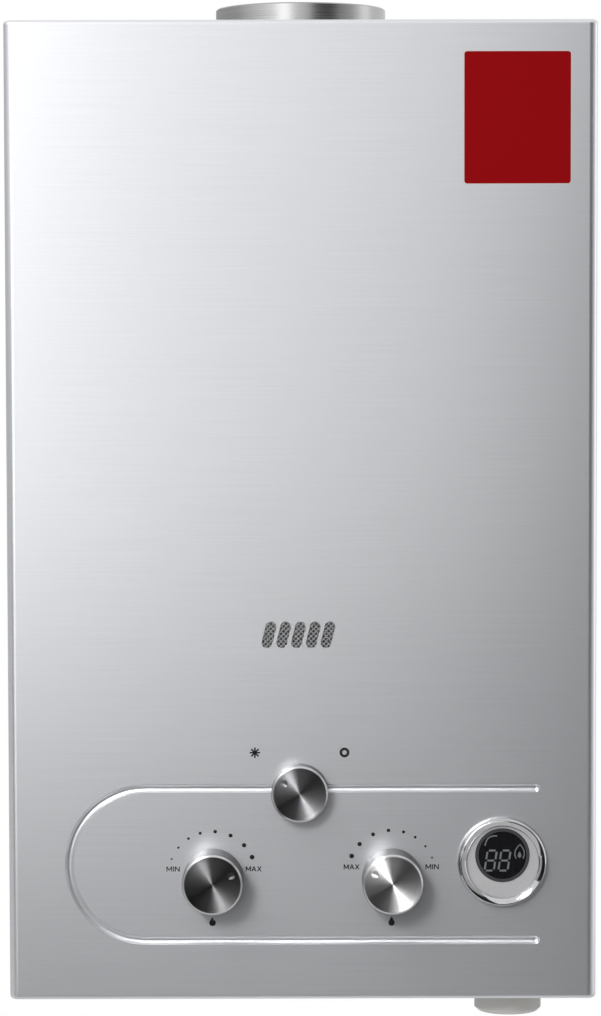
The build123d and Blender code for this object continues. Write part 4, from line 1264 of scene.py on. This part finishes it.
@dataclass
class Display:
    """The round temperature display with its chrome bezel.

    Attributes:
        finishes: The heater's finishes.
        bezel_profile: Inset from the bezel's outside and height above the panel of each corner.
        digit: Width and height of one digit in millimetres.
        digit_places: Middles of the digits across the window.
        digit_drop: Distance of the digits below the window's middle.
        slant: Lean of the digits in degrees.
        segment: Width of a segment in millimetres.
        segment_gap: Gap at each end of a segment.
        flame_stroke: Width of the line around the flame sign.
        tap_stroke: Width of the tap sign's line.
        edge: Outer and inner radius of the window's edge.
    """

    finishes: Finishes
    bezel_profile: tuple[Vec2, ...] = (
        (5.0, 0.0),
        (0.0, 0.0),
        (0.0, 1.2),
        (0.3, 2.4),
        (1.0, 3.3),
        (1.5, 3.7),
        (1.5, 5.5),
        (1.7, 5.9),
        (2.1, 6.0),
        (2.5, 5.8),
        (4.8, 4.5),
        (5.0, 4.2),
    )
    digit: Vec2 = (6.2, 12.4)
    digit_places: Vec2 = (-6.2, 1.6)
    digit_drop: float = 3.0
    slant: float = 8.7
    segment: float = 1.0
    segment_gap: float = 0.75
    flame_stroke: float = 0.6
    tap_stroke: float = 0.7
    edge: Vec2 = (15.2, 13.5)

    def bezel(self) -> None:
        """Turn the smooth chrome bezel in the place of the plain ring."""
        centre, radius = disc_of("display_bezel")
        profile = [(radius - inset, PANEL_FRONT_Y - height) for inset, height in self.bezel_profile]
        work = lathe(centre, profile)
        add_piece("bezel_ring", work, self.finishes.chrome, "display_bezel", smooth=True)

    def print_on_window(self, name: str, slant: float = 0.0) -> Print:
        """Start a print on the middle of the dark window, with a lean in degrees."""
        front_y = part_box("display_window")[0][1] / MM
        return Print(name, front_y, disc_of("display_window")[0], slant)

    def digits(self) -> None:
        """Show the unlit segments of two digits."""
        sheet = self.print_on_window("ghost_digits", self.slant)
        half_w = self.digit[0] / 2.0 - self.segment / 2.0
        half_h = self.digit[1] / 2.0 - self.segment / 2.0
        gap, down = self.segment_gap, self.digit_drop
        for x in self.digit_places:
            for z in (-half_h, 0.0, half_h):
                sheet.stroke([(x - half_w + gap, z - down), (x + half_w - gap, z - down)], self.segment)
            for side in (-half_w, half_w):
                sheet.stroke([(x + side, gap - down), (x + side, half_h - gap - down)], self.segment)
                sheet.stroke([(x + side, -half_h + gap - down), (x + side, -gap - down)], self.segment)
        sheet.build(self.finishes.ghost, Slot.LENS)

    def signs(self) -> None:
        """Show the unlit flame and tap signs and the window's edge."""
        sheet = self.print_on_window("ghost_signs")
        arch = [(7.6, -1.9), (6.9, 0.4), (7.2, 2.6), (8.4, 4.6), (9.9, 6.2), (11.2, 4.4), (12.2, 2.4)]
        sheet.stroke(arch + [(12.3, 0.3), (11.6, -1.9)], self.flame_stroke)
        sheet.polygon([(9.6, -1.6), (10.6, -0.6), (10.4, 0.8), (9.7, 2.2), (8.8, 0.8), (8.6, -0.6)])
        tap = [(-9.9, 5.4), (-9.3, 7.6), (-8.4, 9.4), (-7.0, 10.5), (-5.2, 11.0), (-3.0, 11.0)]
        sheet.stroke(tap, self.tap_stroke)
        sheet.build(self.finishes.ghost, Slot.LENS)
        edge = self.print_on_window("window_edge")
        edge.ring(*self.edge, sides=64)
        edge.build(self.finishes.rim, Slot.LENS)

    def build(self) -> None:
        """Dress the display's pieces and show its unlit signs."""
        self.bezel()
        dress(self.finishes.silver, "display_face")
        dress(self.finishes.lens, "display_window")
        dress(self.finishes.black, "display_module", "display_nut")
        self.digits()
        self.signs()


@dataclass
class Label:
    """The blank red sticker in the upper right corner, on a pale backing.

    Attributes:
        finishes: The heater's finishes.
        width: Width of the red film in millimetres.
        height: Height of the film.
        side_inset: Distance of the film from the cover's right side.
        top_inset: Distance of the film from the cover's top.
        corner: Radius of the film's corners.
        corner_steps: Number of straight stretches in a corner.
        margin: Width of the pale backing that shows around the film.
    """

    finishes: Finishes
    width: float = 59.4
    height: float = 73.4
    side_inset: float = 15.5
    top_inset: float = 17.9
    corner: float = 1.6
    corner_steps: int = 6
    margin: float = 0.45

    def outline(self, margin: float) -> list[Vec2]:
        """Work out the rounded outline of one layer.

        Args:
            margin: Distance of the layer's edge outside the film's edge.

        Returns:
            Corners, counter-clockwise as seen from the front.
        """
        radius = self.corner + margin
        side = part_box("front_cover")[1][0] / MM - self.side_inset - self.corner
        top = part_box("front_cover")[1][2] / MM - self.top_inset - self.corner
        far_side = side - self.width + 2.0 * self.corner
        bottom = top - self.height + 2.0 * self.corner
        middles = ((side, top), (far_side, top), (far_side, bottom), (side, bottom))
        points: list[Vec2] = []
        for quarter, (x, z) in enumerate(middles):
            for step in range(self.corner_steps + 1):
                turn = FULL_TURN / 4.0 * (quarter + step / self.corner_steps)
                points.append((x + radius * math.cos(turn), z + radius * math.sin(turn)))
        return points

    def build(self) -> None:
        """Lay the pale backing and the red film on it."""
        backing = Print("label_backing", PANEL_FRONT_Y)
        backing.polygon(self.outline(self.margin))
        backing.build(self.finishes.line)
        film = Print("red_label", PANEL_FRONT_Y - PRINT_THICKNESS)
        film.polygon(self.outline(0.0))
        film.build(self.finishes.film)


@dataclass
class FlueTop:
    """The draught hood and the round collar that the flue pipe fits on."""

    finishes: Finishes

    def build(self) -> None:
        """Dress the flue's pieces."""
        dress(self.finishes.collar, "flue_collar")
        dress(self.finishes.zinc, "flue_hood")


@dataclass
class BatteryPort:
    """The battery tube in the floor of the case and its twist cap.

    Attributes:
        finishes: The heater's finishes.
        wire: Radius of the contact spring's wire in millimetres.
        turns: Turns of the contact spring.
    """

    finishes: Finishes
    wire: float = 0.5
    turns: float = 4.5

    def spring(self) -> None:
        """Wind the cone-shaped contact spring in the place of its sleeve."""
        low, high = corners_of("battery_spring")
        centre = ((low.x + high.x) / 2.0, (low.y + high.y) / 2.0)
        narrow = reach("battery_spring", centre, low.z - self.wire, low.z + self.wire)
        start = (low.z + self.wire, narrow - self.wire)
        end = (high.z - self.wire, (high.x - low.x) / 2.0 - self.wire)
        coil = Helix(Axis.Z, centre, start, end, self.turns, circle(self.wire, WIRE_SIDES))
        work = coil.build()
        add_piece("contact_coil", work, self.finishes.wire, "battery_spring", smooth=True)

    def build(self) -> None:
        """Dress the battery's pieces and wind its spring."""
        dress(self.finishes.grey, "battery_cap")
        dress(self.finishes.black, "battery_tube")
        dress(self.finishes.cell, "battery_cells")
        self.spring()


@dataclass
class Heating:
    """The burner and the copper heat exchanger above it."""

    finishes: Finishes

    def build(self) -> None:
        """Dress the pieces that burn the gas and heat the water."""
        dress(self.finishes.copper, "combustion_chamber", "heat_fins", "heat_tubes", "cold_pipe", "hot_pipe")
        dress(self.finishes.zinc, "exchanger_brackets", "burner_frame", "burner_bars", "electrode_bracket")
        dress(self.finishes.brass, "injector_nozzles")
        dress(self.finishes.alloy, "gas_manifold")
        dress(self.finishes.ceramic, "electrode_ceramics")
        dress(self.finishes.wire, "electrode_pins")
        dress(self.finishes.black, "overheat_thermostat", "igniter_box")


@dataclass
class Valves:
    """The gas and water valves, the rod between them and the pipe fittings.

    Attributes:
        finishes: The heater's finishes.
        pitch: Pitch of the fittings' threads in millimetres.
        ridge: Height of the threads' ridges.
        ridge_root: Depth of a ridge's foot inside the fitting, as a part of its height.
        ridge_foot: Half the width of a ridge at its foot, as a part of the pitch.
        lead_in: Plain length at a fitting's end and under the case.
        wire: Radius of the return spring's wire.
        spring_pitch: Distance between the return spring's turns.
    """

    finishes: Finishes
    pitch: float = 1.814
    ridge: float = 0.4
    ridge_root: float = 0.1
    ridge_foot: float = 0.42
    lead_in: float = 1.6
    wire: float = 0.6
    spring_pitch: float = 2.4

    def thread(self, port: str) -> None:
        """Cut the thread of one pipe fitting below the case.

        Args:
            port: First part of the name of the fitting's node.
        """
        fitting = f"{port}_fitting"
        low, high = corners_of(fitting)
        centre = ((low.x + high.x) / 2.0, (low.y + high.y) / 2.0)
        case_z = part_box("front_cover")[0][2] / MM
        radius = reach(fitting, centre, low.z, (low.z + case_z) / 2.0)
        start, end = (low.z + self.lead_in, radius), (case_z - self.lead_in, radius)
        root, foot = -self.ridge_root * self.ridge, self.ridge_foot * self.pitch
        section = [(root, -foot), (self.ridge, 0.0), (root, foot)]
        ridge = Helix(Axis.Z, centre, start, end, (end[0] - start[0]) / self.pitch, section)
        add_piece(f"{port}_thread", ridge.build(), self.finishes.brass, smooth=True)

    def spring(self) -> None:
        """Wind the gas valve's return spring, which the rising rod shortens, in the place of its sleeve."""
        low, high = corners_of("return_spring")
        centre = ((low.y + high.y) / 2.0, (low.z + high.z) / 2.0)
        radius = (high.z - low.z) / 2.0 - self.wire
        start, end = (low.x + self.wire, radius), (high.x - self.wire, radius)
        turns = (end[0] - start[0]) / self.spring_pitch
        work = Helix(Axis.X, centre, start, end, turns, circle(self.wire, WIRE_SIDES)).build()
        piece = add_piece("return_coil", work, self.finishes.wire, "return_spring", smooth=True)
        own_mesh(piece)

    def build(self) -> None:
        """Dress the valves' pieces, wind the spring and cut the threads."""
        dress(self.finishes.brass, "water_valve_body", "diaphragm_cover", "diaphragm_plate", "push_rod")
        dress(self.finishes.brass, "gas_inlet_fitting", "water_inlet_fitting", "hot_outlet_fitting")
        dress(self.finishes.alloy, "gas_valve_body")
        dress(self.finishes.black, "solenoid_valve", "microswitch")
        dress(self.finishes.grey, "switch_button")
        dress(self.finishes.rubber, "gas_poppet", "diaphragm")
        dress(self.finishes.screw, "valve_screws")
        self.spring()
        for port in ("gas_inlet", "water_inlet", "hot_outlet"):
            self.thread(port)


@dataclass(frozen=True)
class Lamp:
    """One soft rectangular lamp.

    Attributes:
        name: Name of the lamp.
        at: Its place in metres.
        aim: Point that it faces.
        size: Its width and height in metres.
        power: Its power in watts.
        spread: Angle in degrees that its light spreads over.
    """

    name: str
    at: Vec3
    aim: Vec3
    size: Vec2
    power: float
    spread: float = 180.0

    def hang(self) -> None:
        """Hang the lamp in the studio."""
        data = bpy.data.lights.new(self.name, "AREA")
        data.shape = "RECTANGLE"
        data.size, data.size_y = self.size
        data.energy = self.power
        data.spread = math.radians(self.spread)
        light = bpy.data.objects.new(self.name, data)
        light.location = self.at
        light.rotation_euler = (Vector(self.aim) - Vector(self.at)).to_track_quat("-Z", "Y").to_euler()
        bpy.context.scene.collection.objects.link(light)


@dataclass(frozen=True)
class Sheet:
    """A flat sheet that isn't part of the heater.

    Attributes:
        name: Name of the sheet.
        corners: Its corners in metres.
        hidden: True for a card that only reflections show.
    """

    name: str
    corners: tuple[Vec3, ...]
    hidden: bool = True

    def lay(self, finish: Finish) -> None:
        """Set up the sheet in the studio.

        Args:
            finish: Its finish.
        """
        mesh = bpy.data.meshes.new(self.name)
        mesh.from_pydata(self.corners, [], [tuple(range(len(self.corners)))])
        mesh.materials.append(material_of(finish))
        piece = bpy.data.objects.new(self.name, mesh)
        bpy.context.scene.collection.objects.link(piece)
        if self.hidden:
            piece.visible_camera = False
            piece.visible_diffuse = False
            piece.visible_shadow = False


@dataclass
class Studio:
    """A pale floor, soft lamps from the upper left, cards for the metal to reflect and the photo's camera.

    Attributes:
        camera_at: Place of the camera in metres.
        camera_tilt: Tilt of the camera in degrees, where 90 looks level.
        camera_roll: Turn of the camera about its line of sight, in degrees.
        picture_height: Height in millimetres of the picture that the lens is given for.
        lens: Focal length in millimetres.
        nearest: Distance in metres from which the camera sees.
        ambient: Grey level of the light from all around.
        pale: Finish of the floor.
        dark: Finish of the dark cards.
        grey: Finish of the grey cards.
        lamps: The lamps.
        floor: The floor under the heater.
        dark_cards: Dark cards that the metal reflects.
        grey_cards: Grey cards that its edges reflect.
    """

    camera_at: Vec3 = (-0.0005, -1.950, 0.1037)
    camera_tilt: float = 86.8
    camera_roll: float = 0.13
    picture_height: float = 36.0
    lens: float = 113.83
    nearest: float = 0.05
    ambient: float = 0.35
    pale: StageSheet = StageSheet("pale_floor", even(0.85), glow=0.17)
    dark: Grained = Grained("dark_card", even(0.01), 0.9, grain=even(20.0), variation=0.1)
    grey: StageSheet = StageSheet("grey_card", even(0.5), glow=0.5)
    lamps: tuple[Lamp, ...] = (
        Lamp("key", (-1.0, -1.3, 1.2), (0.0, -0.1, 0.0), (0.8, 0.8), 15.0),
        Lamp("sheen", (-0.6, -1.6, 0.42), (-0.1, -0.15, 0.05), (0.5, 1.1), 2.75),
        Lamp("knobs", (-0.4, -1.4, 0.38), (0.06, -0.15, -0.3), (0.36, 0.36), 0.27, 22.0),
        Lamp("edge", (1.6, 0.1, 0.1), (0.16, -0.1, 0.0), (0.5, 1.2), 1.5),
    )
    floor: Sheet = Sheet(
        "floor",
        ((-2.0, -1.3, -0.62), (2.0, -1.3, -0.62), (2.0, 1.2, -0.62), (-2.0, 1.2, -0.62)),
        hidden=False,
    )
    dark_cards: tuple[Sheet, ...] = (
        Sheet("right_card", ((0.13, -1.1, -1.5), (0.85, -0.8, -1.5), (0.85, -0.8, 0.9), (0.27, -1.1, 0.6))),
        Sheet(
            "left_card", ((-1.05, -0.78, -1.5), (-0.7, -1.1, -1.5), (-0.8, -1.1, 0.1), (-1.05, -0.78, 0.23))
        ),
        Sheet(
            "low_card",
            (
                (-0.8, -1.3, -1.8),
                (0.5, -1.3, -1.8),
                (0.5, -1.3, -0.2),
                (0.0, -1.3, -0.12),
                (-0.8, -1.3, -0.48),
            ),
        ),
        Sheet(
            "floor_card", ((-0.9, -1.28, -0.6), (0.9, -1.28, -0.6), (0.9, -0.55, -0.6), (-0.9, -0.55, -0.6))
        ),
    )
    grey_cards: tuple[Sheet, ...] = (
        Sheet("far_right_card", ((1.6, -0.5, -1.5), (0.85, -0.8, -1.5), (0.85, -0.8, 0.9), (1.6, -0.5, 1.2))),
        Sheet(
            "far_left_card", ((-1.05, -0.78, -1.5), (-2.2, 0.3, -1.5), (-2.2, 0.3, 0.7), (-1.05, -0.78, 0.23))
        ),
        Sheet("rear_card", ((-2.2, 0.3, -1.5), (-0.4, 2.6, -1.5), (-0.4, 2.6, 1.2), (-2.2, 0.3, 1.2))),
    )

    def camera(self) -> None:
        """Set the camera where the photo was taken from."""
        data = bpy.data.cameras.new("camera")
        data.lens = self.lens
        data.sensor_fit = "VERTICAL"
        data.sensor_height = self.picture_height
        data.clip_start = self.nearest
        camera = bpy.data.objects.new("camera", data)
        camera.location = self.camera_at
        camera.rotation_euler = (math.radians(self.camera_tilt), math.radians(self.camera_roll), 0.0)
        bpy.context.scene.collection.objects.link(camera)
        bpy.context.scene.camera = camera

    def world(self) -> None:
        """Make the surroundings white to look at and softer as a light."""
        world = bpy.data.worlds.new("studio")
        bpy.context.scene.world = world
        world.use_nodes = True
        tree = world.node_tree
        path = tree.nodes.new("ShaderNodeLightPath")
        total = path.outputs["Is Camera Ray"]
        for ray in ("Is Glossy Ray", "Is Transmission Ray"):
            add = tree.nodes.new("ShaderNodeMath")
            add.operation = "ADD"
            add.use_clamp = True
            tree.links.new(total, add.inputs[0])
            tree.links.new(path.outputs[ray], add.inputs[1])
            total = add.outputs["Value"]
        level = tree.nodes.new("ShaderNodeMapRange")
        level.inputs["To Min"].default_value = self.ambient
        level.inputs["To Max"].default_value = 1.0
        tree.links.new(total, level.inputs["Value"])
        tree.links.new(level.outputs["Result"], tree.nodes["Background"].inputs["Color"])

    def build(self) -> None:
        """Set up the whole studio."""
        self.camera()
        self.world()
        self.floor.lay(self.pale)
        for card in self.dark_cards:
            card.lay(self.dark)
        for card in self.grey_cards:
            card.lay(self.grey)
        for lamp in self.lamps:
            lamp.hang()
        bpy.context.scene.view_settings.view_transform = "Standard"


def main() -> None:
    """Dress the heater and set up the studio."""
    logging.basicConfig(level=logging.INFO, format="%(name)s: %(message)s")
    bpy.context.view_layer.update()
    finishes = Finishes()
    assemblies = [
        Case(finishes),
        CoverScrews(finishes),
        SightWindow(finishes),
        # The three caps are one spun metal; their colours differ as painted light and shade for how brightly
        # each knob reflects.
        Knob(finishes, "selector", colour=(0.3, 0.3, 0.31)),
        Knob(finishes, "gas", colour=(0.2, 0.2, 0.205)),
        Knob(finishes, "water", colour=(0.86, 0.86, 0.86)),
        SelectorMarks(finishes),
        RegulatorMarks(finishes, "gas", side=1.0, shift=(-0.6, 2.0), word_rise=5.3, sign=flame_sign()),
        RegulatorMarks(finishes, "water", side=-1.0, shift=(-0.2, 2.5), word_rise=6.3, sign=drop_sign()),
        Display(finishes),
        Label(finishes),
        FlueTop(finishes),
        BatteryPort(finishes),
        Heating(finishes),
        Valves(finishes),
        Studio(),
    ]
    for assembly in assemblies:
        assembly.build()
        log.info("built %s", type(assembly).__name__)


if __name__ == "__main__":
    main()
